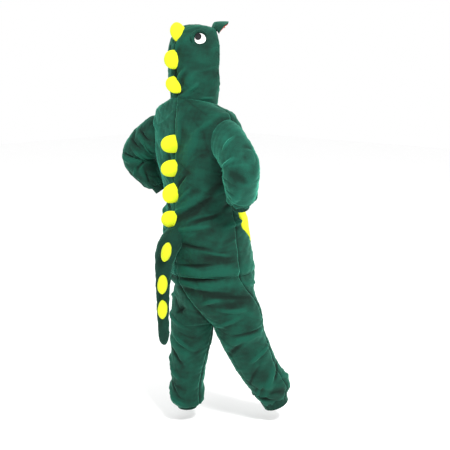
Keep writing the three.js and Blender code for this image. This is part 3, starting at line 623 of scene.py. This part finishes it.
def depth_in(rows, p):
    """How far points lie inside the surface of the body or the hood, in mm; negative outside."""
    z = p[..., 2] - sample(rows, p[..., 2])[..., 7] * (p[..., 1] - BODY_Y)
    r = sample(rows, z)
    turn = np.radians(r[..., 6])
    x, y = p[..., 0] - r[..., 0], p[..., 1] - r[..., 1]
    lx = x * np.cos(turn) - y * np.sin(turn)
    ly = x * np.sin(turn) + y * np.cos(turn)
    depth = np.where(ly < 0, r[..., 4], r[..., 3])
    side, depth = np.maximum(r[..., 2], 1), np.maximum(depth, 1)
    rho = (abs(lx / side) ** r[..., 5] + abs(ly / depth) ** r[..., 5]) ** (1 / r[..., 5])
    away = np.hypot(lx, ly) * (1 / np.maximum(rho, 1e-3) - 1)
    return np.where(z > rows[:, 0].max() - 1, -50, away)


def depth_in_sleeve(side, p):
    """The same for a sleeve's upper part."""
    u = np.linspace(0, 0.75, 120)
    r = sample(SLEEVES[side], u)
    middle = r[:, :3].copy()
    run = unit(sample(SLEEVES[side], u + 0.01)[:, :3] - sample(SLEEVES[side], u - 0.01)[:, :3])
    q = p.reshape(-1, 3).copy()
    q[:, 0] *= side
    best = np.full(len(q), 1e9)
    which = np.zeros(len(q), int)
    for k in range(len(u)):
        away = ((q - middle[k]) ** 2).sum(1)
        near = away < best
        best[near] = away[near]
        which[near] = k
    back = unit(np.array([0, 1.0, 0]) - run * run[:, 1:2])
    up = np.cross(run, back)
    off = q - middle[which]
    a = (off * up[which]).sum(1)
    b = (off * back[which]).sum(1)
    rho = np.hypot(a / r[which, 3], b / r[which, 4])
    depth = np.hypot(a, b) * (1 / np.maximum(rho, 1e-3) - 1)
    beyond = abs((off * run[which]).sum(1)) > 12
    return np.where(beyond, -50, depth).reshape(p.shape[:-1])


# ---------------------------------------------------------------- materials


DRIFT = {"Scale": 22, "Detail": 6, "Roughness": 0.65}  # the broad patches of the nap
PILE = {"Scale": 525, "Detail": 3}
DRIFT_SHARE, PILE_SHARE = 0.5, 0.45
DARK_AT, LIGHT_AT = 0.25, 0.72
PILE_HEIGHT_M = 0.0012


def set_inputs(node, values):
    for name, value in values.items():
        node.inputs[name].default_value = value


def principled(name, look):
    material = bpy.data.materials.new(name)
    material.use_nodes = True
    shader = material.node_tree.nodes["Principled BSDF"]
    set_inputs(shader, look)
    return material, shader


def plush(name, dark, light, sheen, rough, bump):
    """Short pile: its colour drifts between two tones as the nap lies, plus painted fold shade and
    highlight.
    """
    look = {"Roughness": rough, "Sheen Weight": sheen, "Sheen Roughness": 0.4}
    look["Sheen Tint"] = (*[min(1, 0.08 + 8 * c) for c in light], 1)
    look["Specular IOR Level"] = 0.25
    material, shader = principled(name, look)
    nodes, links = material.node_tree.nodes, material.node_tree.links
    place = nodes.new("ShaderNodeTexCoord")
    drift = nodes.new("ShaderNodeTexNoise")
    set_inputs(drift, DRIFT)
    pile = nodes.new("ShaderNodeTexNoise")
    set_inputs(pile, PILE)
    links.new(place.outputs["Object"], drift.inputs["Vector"])
    links.new(place.outputs["Object"], pile.inputs["Vector"])
    patches = nodes.new("ShaderNodeMath")
    patches.operation = "MULTIPLY"
    patches.inputs[1].default_value = DRIFT_SHARE
    links.new(drift.outputs["Fac"], patches.inputs[0])
    both = nodes.new("ShaderNodeMath")
    both.operation = "MULTIPLY_ADD"
    both.inputs[1].default_value = PILE_SHARE
    links.new(pile.outputs["Fac"], both.inputs[0])
    links.new(patches.outputs[0], both.inputs[2])
    ramp = nodes.new("ShaderNodeValToRGB")
    for element, at, tone in zip(ramp.color_ramp.elements, (DARK_AT, LIGHT_AT), (dark, light)):
        element.position = at
        element.color = (*tone, 1)
    # Painted shade and highlight: the 'nap' attribute darkens the colour in fold troughs and
    # lightens it on ridges.
    fold_shade = nodes.new("ShaderNodeAttribute")
    fold_shade.attribute_name = "nap"
    lit = nodes.new("ShaderNodeMath")
    links.new(both.outputs[0], lit.inputs[0])
    links.new(fold_shade.outputs["Fac"], lit.inputs[1])
    links.new(lit.outputs[0], ramp.inputs["Fac"])
    links.new(ramp.outputs["Color"], shader.inputs["Base Color"])
    relief = nodes.new("ShaderNodeBump")
    set_inputs(relief, {"Strength": bump, "Distance": PILE_HEIGHT_M})
    links.new(pile.outputs["Fac"], relief.inputs["Height"])
    links.new(relief.outputs["Normal"], shader.inputs["Normal"])
    return material


def plain(name, color, rough, specular):
    look = {"Base Color": (*color, 1), "Roughness": rough, "Specular IOR Level": specular}
    return principled(name, look)[0]


GREEN = plush("green plush", (0.0, 0.009, 0.005), (0.001, 0.062, 0.038), 0.55, 0.85, 0.55)
LIGHT_TONES = (0.0, 0.014, 0.008), (0.004, 0.085, 0.055)
GREEN_LIGHT = plush("green plush, nap up", *LIGHT_TONES, 0.75, 0.85, 0.55)
DARK_TONES = (0.0, 0.007, 0.004), (0.001, 0.044, 0.027)
GREEN_DARK = plush("green plush, nap down", *DARK_TONES, 0.5, 0.88, 0.55)
YELLOW = plush("yellow plush", (0.5, 0.6, 0.008), (0.78, 0.88, 0.02), 0.1, 0.85, 0.35)
RED = plush("red lining", (0.42, 0.008, 0.015), (0.62, 0.02, 0.03), 0.1, 0.85, 0.25)
WHITE = plush("white felt", (0.8, 0.8, 0.78), (0.93, 0.93, 0.91), 0.1, 0.85, 0.2)
BLACK = plain("dark felt", (0.004, 0.004, 0.005), 0.6, 0.15)
BUTTON = plain("green button", (0.004, 0.06, 0.04), 0.32, 0.5)

# ---------------------------------------------------------------- making pieces


def make_object(name, points, faces, material):
    """The look of the node of that name: it stands for the node and rides on the root."""
    mesh = bpy.data.meshes.new(name)
    mesh.from_pydata((np.asarray(points).reshape(-1, 3) * MM).tolist(), [], faces)
    mesh.validate()
    mesh.update()
    mesh.polygons.foreach_set("use_smooth", [True] * len(mesh.polygons))
    mesh.materials.append(material)
    piece = bpy.data.objects.new(name + "_look", mesh)
    bpy.context.collection.objects.link(piece)
    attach(piece, "root")
    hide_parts(name)
    return piece


def grid_faces(rows, columns, closed=False, keep=None, flip=False):
    across = columns if closed else columns - 1
    i, j = np.meshgrid(np.arange(rows - 1), np.arange(across), indexing="ij")
    k = (j + 1) % columns
    here, below = i * columns, (i + 1) * columns
    quads = np.stack([here + j, here + k, below + k, below + j], -1)
    if flip:
        quads = quads[..., ::-1]
    quads = quads.reshape(-1, 4)
    if keep is not None:
        quads = quads[keep.reshape(-1)[quads].any(1)]
    return quads.tolist()


def edge_distances(p):
    """From each grid point along the cloth to the nearer side edge and the first and last row."""
    across = np.linalg.norm(np.diff(p, axis=1), axis=-1)
    from_left = np.concatenate([np.zeros((len(p), 1)), np.cumsum(across, 1)], 1)
    to_side = np.minimum(from_left, from_left[:, -1:] - from_left)
    along = np.linalg.norm(np.diff(p, axis=0), axis=-1)
    from_first = np.concatenate([np.zeros((1, p.shape[1])), np.cumsum(along, 0)], 0)
    return to_side, from_first, from_first[-1:] - from_first


def crumple(p):
    """A low, uneven liveliness of the cloth, the same on both sides of a seam.

    It is a sum of waves through space. Their pitches have no common measure, so nothing repeats.
    """
    x, y, z = p[..., 0], p[..., 1], p[..., 2]
    a = np.sin(0.061 * x + 1.3 * np.sin(0.031 * z) + 0.8)
    a = a * np.sin(0.053 * z + 1.1 * np.sin(0.037 * y))
    b = np.sin(0.113 * z + 1.7 * np.sin(0.047 * x) + 0.05 * y) * np.sin(0.097 * y - 0.071 * x + 2.1)
    c = np.sin(0.21 * z + 0.17 * x + 2.0 * np.sin(0.06 * y)) * np.sin(0.19 * x - 0.13 * z + 0.5)
    q = 0.055 * z + 0.03 * x + 1.4 * np.sin(0.021 * x + 0.6) + 1.1 * np.sin(0.027 * y + 1.0)
    r = 0.05 * z - 0.045 * x + 1.5 * np.sin(0.026 * z) + 0.9 * np.sin(0.03 * y)
    ridge_share = 0.5 + 0.5 * np.sin(0.033 * x + 0.029 * z + 0.025 * y)
    trough_share = 0.5 + 0.5 * np.sin(0.041 * x - 0.023 * z + 0.03 * y + 2.0)
    ridge = (1 - abs(np.sin(q))) ** 5 * ridge_share
    trough = (1 - abs(np.sin(r))) ** 5 * trough_share
    waves = CRUMPLE["broad"] * a + CRUMPLE["middle"] * b + CRUMPLE["small"] * c
    return waves + CRUMPLE["ridge"] * ridge - CRUMPLE["ridge"] * trough


def seam_dip(distance, run, deep):
    """A seam draws the cloth in, with small puckers on both sides of it."""
    near = np.exp(-((distance / SEAM_WIDE) ** 2))
    pucker = np.exp(-((distance / (PUCKER_SPREAD * SEAM_WIDE)) ** 2)) * (1 - near)
    drift = PUCKER_DRIFT[0] * np.sin(run / PUCKER_DRIFT[1])
    return -deep * near + PUCKER_HIGH * pucker * np.sin(run / PUCKER_PITCH + drift)


def flat_size(p, closed):
    """The cut: the panel laid flat, as its widest row, its longest column and its area, in m."""
    q = np.concatenate([p, p[:, :1]], 1) if closed else p
    wide = np.linalg.norm(np.diff(q, axis=1), axis=-1).sum(1).max()
    long = np.linalg.norm(np.diff(q, axis=0), axis=-1).sum(0).max()
    a, b, c, d = q[:-1, :-1], q[:-1, 1:], q[1:, 1:], q[1:, :-1]
    area = np.linalg.norm(np.cross(c - a, d - b), axis=-1).sum() / 2
    return wide * MM, long * MM, area * MM * MM


def cloth(
    name,
    surface,
    u,
    v,
    material,
    slot,
    closed=False,
    seams="sides first last",
    out=0.0,
    thick=WALL,
    lively=1.0,
    deep=SEAM_DEEP,
    stitch=None,
    neck=False,
    keep=None,
    held="hung",
    on=(),
):
    """A panel of cloth on places u, v of a surface.

    seams names its sewn edges, stitch is a topstitch's distance from the side edge, and keep tells
    which points an armhole leaves.
    """
    plain_cut = surface.bare(u, v)
    p = surface(u, v, out)
    n = surface.normal(u, v)
    to_side, from_first, to_last = edge_distances(plain_cut)
    lift = crumple(p) * lively
    if stitch is not None:
        lift = lift - STITCH_DEEP * np.exp(-(((to_side - stitch) / STITCH_WIDE) ** 2))
    if "sides" in seams and not closed:
        lift = lift + seam_dip(to_side, from_first, deep)
    round_run = np.broadcast_to(np.asarray(v, float), p.shape[:2]) * surface.degree
    if "first" in seams:
        lift = lift + seam_dip(from_first, round_run, deep)
    if "last" in seams:
        lift = lift + seam_dip(to_last, round_run, deep)
    if neck:
        lift = lift * ease(from_first / NECK_FADE)
    p = p + n * lift[..., None]
    a = p[:-1, :-1].reshape(-1, 3)
    facing = np.cross(p[:-1, 1:].reshape(-1, 3) - a, p[1:, :-1].reshape(-1, 3) - a)
    flip = (facing * n[:-1, :-1].reshape(-1, 3)).sum() < 0
    kept = None if keep is None else keep(p)
    faces = grid_faces(*p.shape[:2], closed, kept, flip)
    piece = make_object(name, p, faces, material)
    # Painted shade and highlight: the colour is darker in the troughs of the folds and lighter on
    # their ridges, by the relief.
    relief = surface.height(u, v) + lift
    nap = piece.data.attributes.new("nap", "FLOAT", "POINT")
    nap.data.foreach_set("value", (FOLD_SHADE * np.tanh(relief / FOLD_SHADE_RELIEF)).reshape(-1))
    wall = piece.modifiers.new("wall", "SOLIDIFY")
    wall.thickness = thick * MM
    wall.offset = -1
    wide, long, area = flat_size(plain_cut, closed)
    if kept is not None:
        area *= kept.mean()  # the share of grid points that the armhole leaves
    return piece


def stuffed(name, rings, material):
    """A closed piece through rings, with a middle point at each end."""
    rings = np.asarray(rings, float)
    rows, columns = rings.shape[:2]
    ends = [rings[0].mean(0)[None], rings[-1].mean(0)[None]]
    points = np.concatenate([rings.reshape(-1, 3), *ends])
    volume = 0.0
    first, last = rows * columns, rows * columns + 1
    faces = grid_faces(rows, columns, True)
    for j in range(columns):
        k = (j + 1) % columns
        faces.append([first, k, j])
        faces.append([last, (rows - 1) * columns + j, (rows - 1) * columns + k])
    for face in faces:
        a = points[face[0]]
        for s in range(1, len(face) - 1):
            volume += np.dot(a, np.cross(points[face[s]], points[face[s + 1]]))
    if volume < 0:
        faces = [f[::-1] for f in faces]
    piece = make_object(name, points, faces, material)


def rows_between(first, last, count):
    return np.linspace(first, last, count)


def columns_between(start, end, count):
    """start and end are values for each row."""
    t = np.linspace(0, 1, count)
    return start[:, None] * (1 - t) + end[:, None] * t


# ---------------------------------------------------------------- body

SIDES = (("left", 1), ("right", -1))


def belly_edge(z):
    return np.where(z > BELLY_END, sample(BELLY, np.maximum(z, BELLY_END))[..., 0], 0)


def degrees_of(mm, z):
    return np.degrees(mm / sample(BODY, z)[..., 2])


BODY_Z = np.concatenate([rows_between(2, -30, 16), rows_between(-33, SEAT, 190)])


def armhole(side):
    return lambda p: depth_in_sleeve(side, p) < ARMHOLE_OVERLAP


for name, side in SIDES:
    z = BODY_Z
    gap = degrees_of(SEAM / 2, z)
    options = {"keep": armhole(side), "seams": "sides last", "neck": True}
    v = columns_between(np.full(len(z), 180.0 * side), side * (SHOULDER_SEAM + gap), 62)
    nap = GREEN_LIGHT if side > 0 else GREEN
    cloth("back_" + name, BODY_SURFACE, z[:, None], v, nap, "green_plush", **options)
    v = columns_between(side * (SHOULDER_SEAM - gap), side * (belly_edge(z) + 2 * gap), 44)
    cloth("front_" + name, BODY_SURFACE, z[:, None], v, GREEN, "green_plush", **options)
    z = BODY_Z[BODY_Z >= BELLY_END]
    gap = degrees_of(SEAM / 2, z)
    v = columns_between(side * np.maximum(0, belly_edge(z) - 2 * gap), np.zeros(len(z)), 34)
    options = {"deep": 1.6, "seams": "sides last", "neck": True}
    cloth("belly_" + name, BODY_SURFACE, z[:, None], v, YELLOW, "yellow_plush", **options)

z = BODY_Z[BODY_Z >= PLACKET_END]
half = degrees_of(PLACKET_HALF, z)
v = columns_between(-half, half, 16)
options = {"out": SEAM + TRIM + PLACKET_LIFT, "thick": TRIM, "deep": 0.5, "held": "laid"}
options["on"] = ["belly_left_look", "belly_right_look"]
cloth("placket", BODY_SURFACE, z[:, None], v, YELLOW, "yellow_plush", **options)

# ---------------------------------------------------------------- legs and cuffs

CUFF_LOOK = {"closed": True, "seams": "", "lively": 0.3, "out": -0.8, "held": "gathered"}

for name, side in SIDES:
    hem = HEMS[side]
    bend = np.sin(np.linspace(0, math.pi / 2, 60))
    above = mix(SEAT - SEAM, CROTCH[2], bend)
    z = np.concatenate([above, rows_between(CROTCH[2], hem, 120)[1:]])
    gap = LEG_GAP * degrees_of(SEAM / 2, np.maximum(z, CROTCH[2]))
    inseam = np.where(z > CROTCH[2], 0, gap)
    options = {"held": "gathered"}
    surface = LEG_SURFACE[side]
    v = columns_between(side * (180 - inseam), side * (SHOULDER_SEAM + gap), 60)
    cloth("leg_back_" + name, surface, z[:, None], v, GREEN, "green_plush", **options)
    v = columns_between(side * (SHOULDER_SEAM - gap), side * inseam, 54)
    cloth("leg_front_" + name, surface, z[:, None], v, GREEN, "green_plush", **options)

    cuff = Surface(bare_leg(side), (), (), 1, BODY_DEGREE, 0.5, (fine_gather(hem, 30, 30, 0.9),))
    z = rows_between(hem + TUCK, hem - CUFF_HEIGHT, 20)
    v = np.broadcast_to(side * np.linspace(0, 180, 120, endpoint=False), (20, 120))
    cloth("cuff_ankle_" + name, cuff, z[:, None], v, GREEN_DARK, "green_plush", **CUFF_LOOK)

# ---------------------------------------------------------------- sleeves and wrist cuffs


def outside_body(p):
    return depth_in(BODY, p) < SLEEVE_OVERLAP


def wrist(side):
    rows = SLEEVES[side]
    end, before = rows[-1, 1:], rows[-2, 1:]
    run = unit(end[:3] - before[:3])
    back = unit(np.array([0, 1.0, 0]) - run * run[1])
    up = np.cross(run, back)

    def place(drop, v):
        drop, v = np.broadcast_arrays(np.asarray(drop, float), np.asarray(v, float))
        reach = mix(*WRIST_REACH, part01(drop, 0, CUFF_HEIGHT))[..., None]
        angle = np.radians(side * v)[..., None]
        p = end[:3] + run * drop[..., None] + reach * (up * np.cos(angle) - back * np.sin(angle))
        p[..., 0] *= side
        return p

    return place


for name, side in SIDES:
    u = rows_between(0, 1, 170)
    v = np.broadcast_to(np.linspace(0, 360, 150, endpoint=False), (170, 150))
    nap = GREEN_LIGHT if side < 0 else GREEN
    options = {"closed": True, "seams": "last", "keep": outside_body, "held": "gathered"}
    cloth("sleeve_" + name, SLEEVE_SURFACE[side], u[:, None], v, nap, "green_plush", **options)

    band = Surface(wrist(side), (), (), 1, WRIST_DEGREE, 0.5, (fine_gather(0, 40, 24, 0.8),))
    u = rows_between(-TUCK, CUFF_HEIGHT, 20)
    v = np.broadcast_to(np.linspace(0, 360, 110, endpoint=False), (20, 110))
    cloth("cuff_wrist_" + name, band, u[:, None], v, GREEN_DARK, "green_plush", **CUFF_LOOK)

# ---------------------------------------------------------------- hood and facing


def hood_seam(u):
    return HOOD_LAG * sample(HOOD, u)[..., 6] / HOOD_TURN


def face_edge(u):
    """Where the hood meets the plane of the face opening, in degrees from its middle."""
    r = sample(HOOD, u)
    share = (r[..., 1] - FACE_PLANE) / np.maximum(r[..., 4], 1e-6)
    inside = np.clip(share, 0, 1) ** (r[..., 5] / 2)
    return np.where(share >= 1, 0, np.degrees(np.arccos(np.clip(inside, 0, 1))))


for name, side in SIDES:
    u = np.concatenate([rows_between(0, 0.76, 110), rows_between(0.766, 0.995, 46)])
    v = columns_between(side * 180 + hood_seam(u), side * face_edge(u), 90)
    options = {"seams": "sides", "lively": 0.8, "neck": True, "stitch": 10}
    cloth("hood_" + name, HOOD_SURFACE, u[:, None], v, GREEN, "green_plush", **options)
    u = rows_between(0.07, 0.78, 90)
    edge, back = face_edge(u), 180 + side * hood_seam(u)
    v = columns_between(side * mix(edge, back, 0.1), side * edge, 10)
    options = {
        "out": -WALL - SEAM - 1.6,
        "thick": TRIM,
        "seams": "",
        "lively": 0.8,
        "held": "laid",
        "on": ["hood_%s_look" % name],
    }
    cloth("facing_" + name, HOOD_SURFACE, u[:, None], v, RED, "red_lining", **options)

# ---------------------------------------------------------------- tail and spikes


def tail_point(u, v):
    u, v = np.broadcast_arrays(np.asarray(u, float), np.asarray(v, float))
    r = sample(TAIL, u)
    run = unit(sample(TAIL, u + 0.01)[..., :3] - sample(TAIL, u - 0.01)[..., :3])
    side = unit(np.array([1.0, 0, 0]) - run * run[..., :1])
    back = -np.cross(run, side)
    angle = np.radians(v)
    p = r[..., :3] + side * (r[..., 3] * np.sin(angle))[..., None]
    return p - back * (r[..., 4] * np.cos(angle))[..., None]


TIP_FROM = 0.955
u = np.concatenate([rows_between(0, 0.95, 90), rows_between(TIP_FROM, 1, 14)])
tip = part01(u, TIP_FROM, 1)
shrink = np.sqrt(1 - 0.97 * tip**2)[:, None, None]
middle = sample(TAIL, u)[:, None, :3]
skin = tail_point(u[:, None], np.linspace(0, 360, 64, endpoint=False)[None])
dents = unit(skin - middle) * (crumple(skin * 1.6) * 0.9 - 0.6)[..., None]
stuffed("tail", middle + (skin - middle) * shrink + dents, GREEN_DARK)


SPIKE_SINK = 3  # how far a spike's base lies under the surface
SPIKE_DEEPEST = 0.8


def spike_rings(half, reach, thick, seed):
    """A stuffed half round: across, outwards and along the surface that it is sewn on."""
    rise = np.sin(np.radians(np.linspace(-13, 86, 34)))[:, None]
    wide = (1 - np.abs(rise) ** 2.7) ** (1 / 2.3)
    angle = np.radians(np.linspace(0, 360, 56, endpoint=False))[None]
    x = thick * wide * power(np.sin(angle), 1.15)
    z = half * wide * np.cos(angle)
    y = reach * rise * np.ones_like(angle)
    # The stuffing is uneven and the rim seam draws in small puckers.
    rim = np.exp(-((np.sin(angle) / 0.35) ** 2))
    pucker = 1 + 0.05 * rim * np.sin(9 * rise * 3 + seed)
    pucker = pucker + 0.05 * np.sin(2 * angle + 3 * rise + seed)
    return np.stack([x * pucker, y, z], -1)


SURFACES = {"hood": HOOD_SURFACE, "body": BODY_SURFACE}
for i, (on, at, half, reach, thick, lean) in enumerate(SPIKES):
    if on == "tail":
        place, step = TAIL_SPIKE_TURN - 180.0, 0.004
        seat = tail_point(at, place)
        ahead = -unit(tail_point(at + step, place) - tail_point(at - step, place))
        out = unit(seat - sample(TAIL, at)[:3])
    else:
        surface = SURFACES[on]
        place = 180.0 + (float(hood_seam(at)) if on == "hood" else 0)
        step = surface.step
        seat = surface(at, place, 0.0, False)
        ahead = unit(surface(at + step, place, 0.0, False) - surface(at - step, place, 0.0, False))
        out = surface.normal(at, place)
    across = unit(np.cross(out, ahead))
    turn = math.radians(lean)
    up = ahead * math.cos(turn) + np.cross(out, ahead) * math.sin(turn)
    sideways = across * math.cos(turn) + np.cross(out, across) * math.sin(turn)
    rings = spike_rings(half, reach, thick, i)
    basis = np.stack([sideways, out, up])
    rings = rings @ basis + seat - SPIKE_SINK * out
    if on != "tail":
        # The spike is sewn on: its base stops in the cloth and doesn't reach into the hollow.
        sunk = depth_in(BODY if on == "body" else HOOD_BY_HEIGHT, rings)
        rings = rings + out * np.maximum(0, sunk - SPIKE_DEEPEST)[..., None]
    stuffed("spike_%02d" % (i + 1), rings, YELLOW)

# ---------------------------------------------------------------- eyes

EYE = {"along": 0.67, "round": 94, "wide": 13, "tall": 18, "dome": 5, "sheet": 1.5}
PUPIL = {"along": 0.012, "round": 3, "wide": 8, "tall": 11, "dome": 3}
EYE_DEGREE = 1.35
LID = {"reach": 6.6, "roll": 5.2, "out": 6.4, "start": -0.15, "end": 0.85}  # ends in half turns


def on_hood(u, v, out):
    return HOOD_SURFACE(u, v, out, False)


def oval(side, along, round_at, wide, tall, low, dome):
    turns = np.linspace(0, 2 * math.pi, 48, endpoint=False)

    def at(share, out):
        u = along + tall * share * np.sin(turns) / HOOD_LENGTH
        v = side * (round_at + wide * share * np.cos(turns) / EYE_DEGREE)
        return on_hood(u, v, out)

    rings = [at(0.4, low), at(1, low)]
    for share in (1, 0.97, 0.9, 0.8, 0.65, 0.45, 0.2):
        rings.append(at(share, low + EYE["sheet"] + dome * math.sqrt(1 - share**2)))
    return rings


for name, side in SIDES:
    white = oval(side, EYE["along"], EYE["round"], EYE["wide"], EYE["tall"], 1.2, EYE["dome"])
    stuffed("eye_" + name, white, WHITE)
    low = SEAM + EYE["sheet"] + EYE["dome"] + 0.6
    along, round_at = EYE["along"] + PUPIL["along"], EYE["round"] + PUPIL["round"]
    dome = PUPIL["dome"] - EYE["sheet"]
    dark = oval(side, along, round_at, PUPIL["wide"], PUPIL["tall"], low, dome)
    stuffed("pupil_" + name, dark, BLACK)
    rings = []
    for t in np.linspace(0, 1, 40):
        turn = math.pi * mix(LID["start"], LID["end"], t)
        roll = LID["roll"] * math.sin(math.pi * mix(0.04, 0.96, t)) ** 0.5
        angle = np.linspace(0, 2 * math.pi, 24, endpoint=False)
        reach = LID["reach"] + roll * np.cos(angle)
        u = EYE["along"] + (EYE["tall"] + reach) * math.sin(turn) / HOOD_LENGTH
        v = side * (EYE["round"] + (EYE["wide"] + reach) * math.cos(turn) / EYE_DEGREE)
        rings.append(on_hood(u, v, LID["out"] + roll * 1.1 * np.sin(angle)))
    stuffed("eyelid_" + name, rings, GREEN)

# ---------------------------------------------------------------- snout and teeth

SNOUT = {"half": 52, "reach": 42, "thick": 25, "edge": 3, "rise": 24, "base": 209, "arch": 13}
LINING_OUT = (0.1, 0.96)
LINING_SPREAD = 0.86
TOOTH_OUT = (0.92, 0.86)


def snout_point(across, out, high):
    """across is -1 to 1, out is 0 at the face and 1 at the brim, high is above the underside."""
    x = SNOUT["half"] * across
    plan = np.where(out > 0, SNOUT["reach"] * np.sqrt(1 - 0.98 * across**2), SNOUT["reach"])
    y = FACE_PLANE - plan * out
    under = SNOUT["base"] + SNOUT["arch"] * (1 - across**2) + SNOUT["rise"] * out
    turn = math.radians(-HOOD_TURN)
    px = x * math.cos(turn) - y * math.sin(turn)
    return vec(px, x * math.sin(turn) + y * math.cos(turn), under + high)


def snout_slab(low, high, start, end, spread=1.0):
    across = np.linspace(-spread, spread, 48)
    rings = []
    for out in np.linspace(start, end, 36):
        upper = snout_point(across, out, high(across, out))
        lower = snout_point(across[::-1], out, low(across[::-1], out))
        rings.append(np.concatenate([upper, lower]))
    return rings


def crown(across, out):
    high = mix(SNOUT["thick"], SNOUT["edge"], max(0.0, out) ** 1.2)
    return high * np.sqrt(1 - 0.9 * across**2)


def level(high):
    return lambda across, out: 0 * across + high


stuffed("snout", snout_slab(level(0), crown, 0, 1), GREEN)
lining = snout_slab(level(-SEAM - TRIM), level(-SEAM), *LINING_OUT, LINING_SPREAD)
stuffed("snout_lining", lining, RED)

# across, half width, drop
TEETH = ((-0.66, 8, 10), (-0.22, 9, 12), (0.22, 9, 12), (0.66, 8, 10))
for i, (across, half, drop) in enumerate(TEETH):
    rings = []
    for down in np.linspace(0, 0.97, 8):
        part = half * (1 - down) / SNOUT["half"]
        high = -4 * SEAM - TRIM - drop * down
        front, back = TOOTH_OUT
        corners = ((-part, front), (part, front), (part, back), (-part, back))
        rings.append([snout_point(across + a, o, high).reshape(3) for a, o in corners])
    stuffed("tooth_%d" % (i + 1), rings, WHITE)

# ---------------------------------------------------------------- buttons

BUTTON_HEIGHTS = (-35, -135, -235, -335, -435)
BUTTON_LIFT = 2.6
# radius, height
BUTTON_PROFILE = (
    (9.1, 0.2),
    (9.5, 0.8),
    (9.5, 2.6),
    (9, 3.2),
    (8, 3.4),
    (7, 3.0),
    (6, 2.4),
    (0.01, 2.2),
)
for i, height in enumerate(BUTTON_HEIGHTS):
    out = BODY_SURFACE.normal(height, 0.0)
    seat = BODY_SURFACE(height, 0.0, TRIM + BUTTON_LIFT)
    side = unit(np.cross(out, [0, 0, 1.0]))
    up = np.cross(side, out)
    turns = np.linspace(0, 2 * math.pi, 40, endpoint=False)[:, None]
    rings = []
    for radius, high in BUTTON_PROFILE:
        ring = radius * (side * np.cos(turns) + up * np.sin(turns))
        rings.append(seat + out * high + ring)
    stuffed("button_%d" % (i + 1), rings, BUTTON)

# ---------------------------------------------------------------- floor, light and camera


FLOOR_M = -1.07
FLOOR_HALF_M = 9
# name, place in m, target in m, size in m, power in W
LIGHTS = (
    ("key", (-2.6, 1.0, 2.4), (0, 0, -0.3), 0.8, 150),
    ("fill", (-0.6, 3.2, 1.2), (0, 0, -0.4), 2.0, 12),
    ("front", (1.5, -3.0, 1.8), (0, 0, -0.4), 2.0, 25),
)
# The photo's view: 3 m off, from behind the wearer's right shoulder.
CAMERA_M = (-2.1213, 2.1213, 0.15)
CAMERA_DOWN = 10.2
CAMERA_ROUND = 225
LENS, SENSOR = 76.16, 36
SHIFT_X = 0.0644

mesh = bpy.data.meshes.new("floor")
ways = ((-1, -1), (1, -1), (1, 1), (-1, 1))
corners = [(x * FLOOR_HALF_M, y * FLOOR_HALF_M, FLOOR_M) for x, y in ways]
mesh.from_pydata(corners, [], [(0, 1, 2, 3)])
mesh.materials.append(plain("pale floor", (0.97, 0.97, 0.97), 0.95, 0.05))
floor = bpy.data.objects.new("floor", mesh)
bpy.context.collection.objects.link(floor)

world = bpy.data.worlds.new("world")
bpy.context.scene.world = world
world.use_nodes = True
set_inputs(world.node_tree.nodes["Background"], {"Color": (1, 1, 1, 1), "Strength": 1.0})
for name, place, target, size, power_w in LIGHTS:
    data = bpy.data.lights.new(name, "AREA")
    data.size = size
    data.energy = power_w
    lamp = bpy.data.objects.new(name, data)
    bpy.context.collection.objects.link(lamp)
    lamp.location = place
    way = Vector(np.array(target) - np.array(place))
    lamp.rotation_euler = way.to_track_quat("-Z", "Y").to_euler()

camera_data = bpy.data.cameras.new("camera")
camera_data.sensor_width = SENSOR
camera_data.lens = LENS
camera_data.shift_x = SHIFT_X
camera_data.clip_start = 0.05
camera_data.clip_end = 60
camera = bpy.data.objects.new("camera", camera_data)
bpy.context.collection.objects.link(camera)
camera.location = CAMERA_M
camera.rotation_euler = (math.radians(90 - CAMERA_DOWN), 0, math.radians(CAMERA_ROUND))
bpy.context.scene.camera = camera
bpy.context.scene.view_settings.view_transform = "Standard"
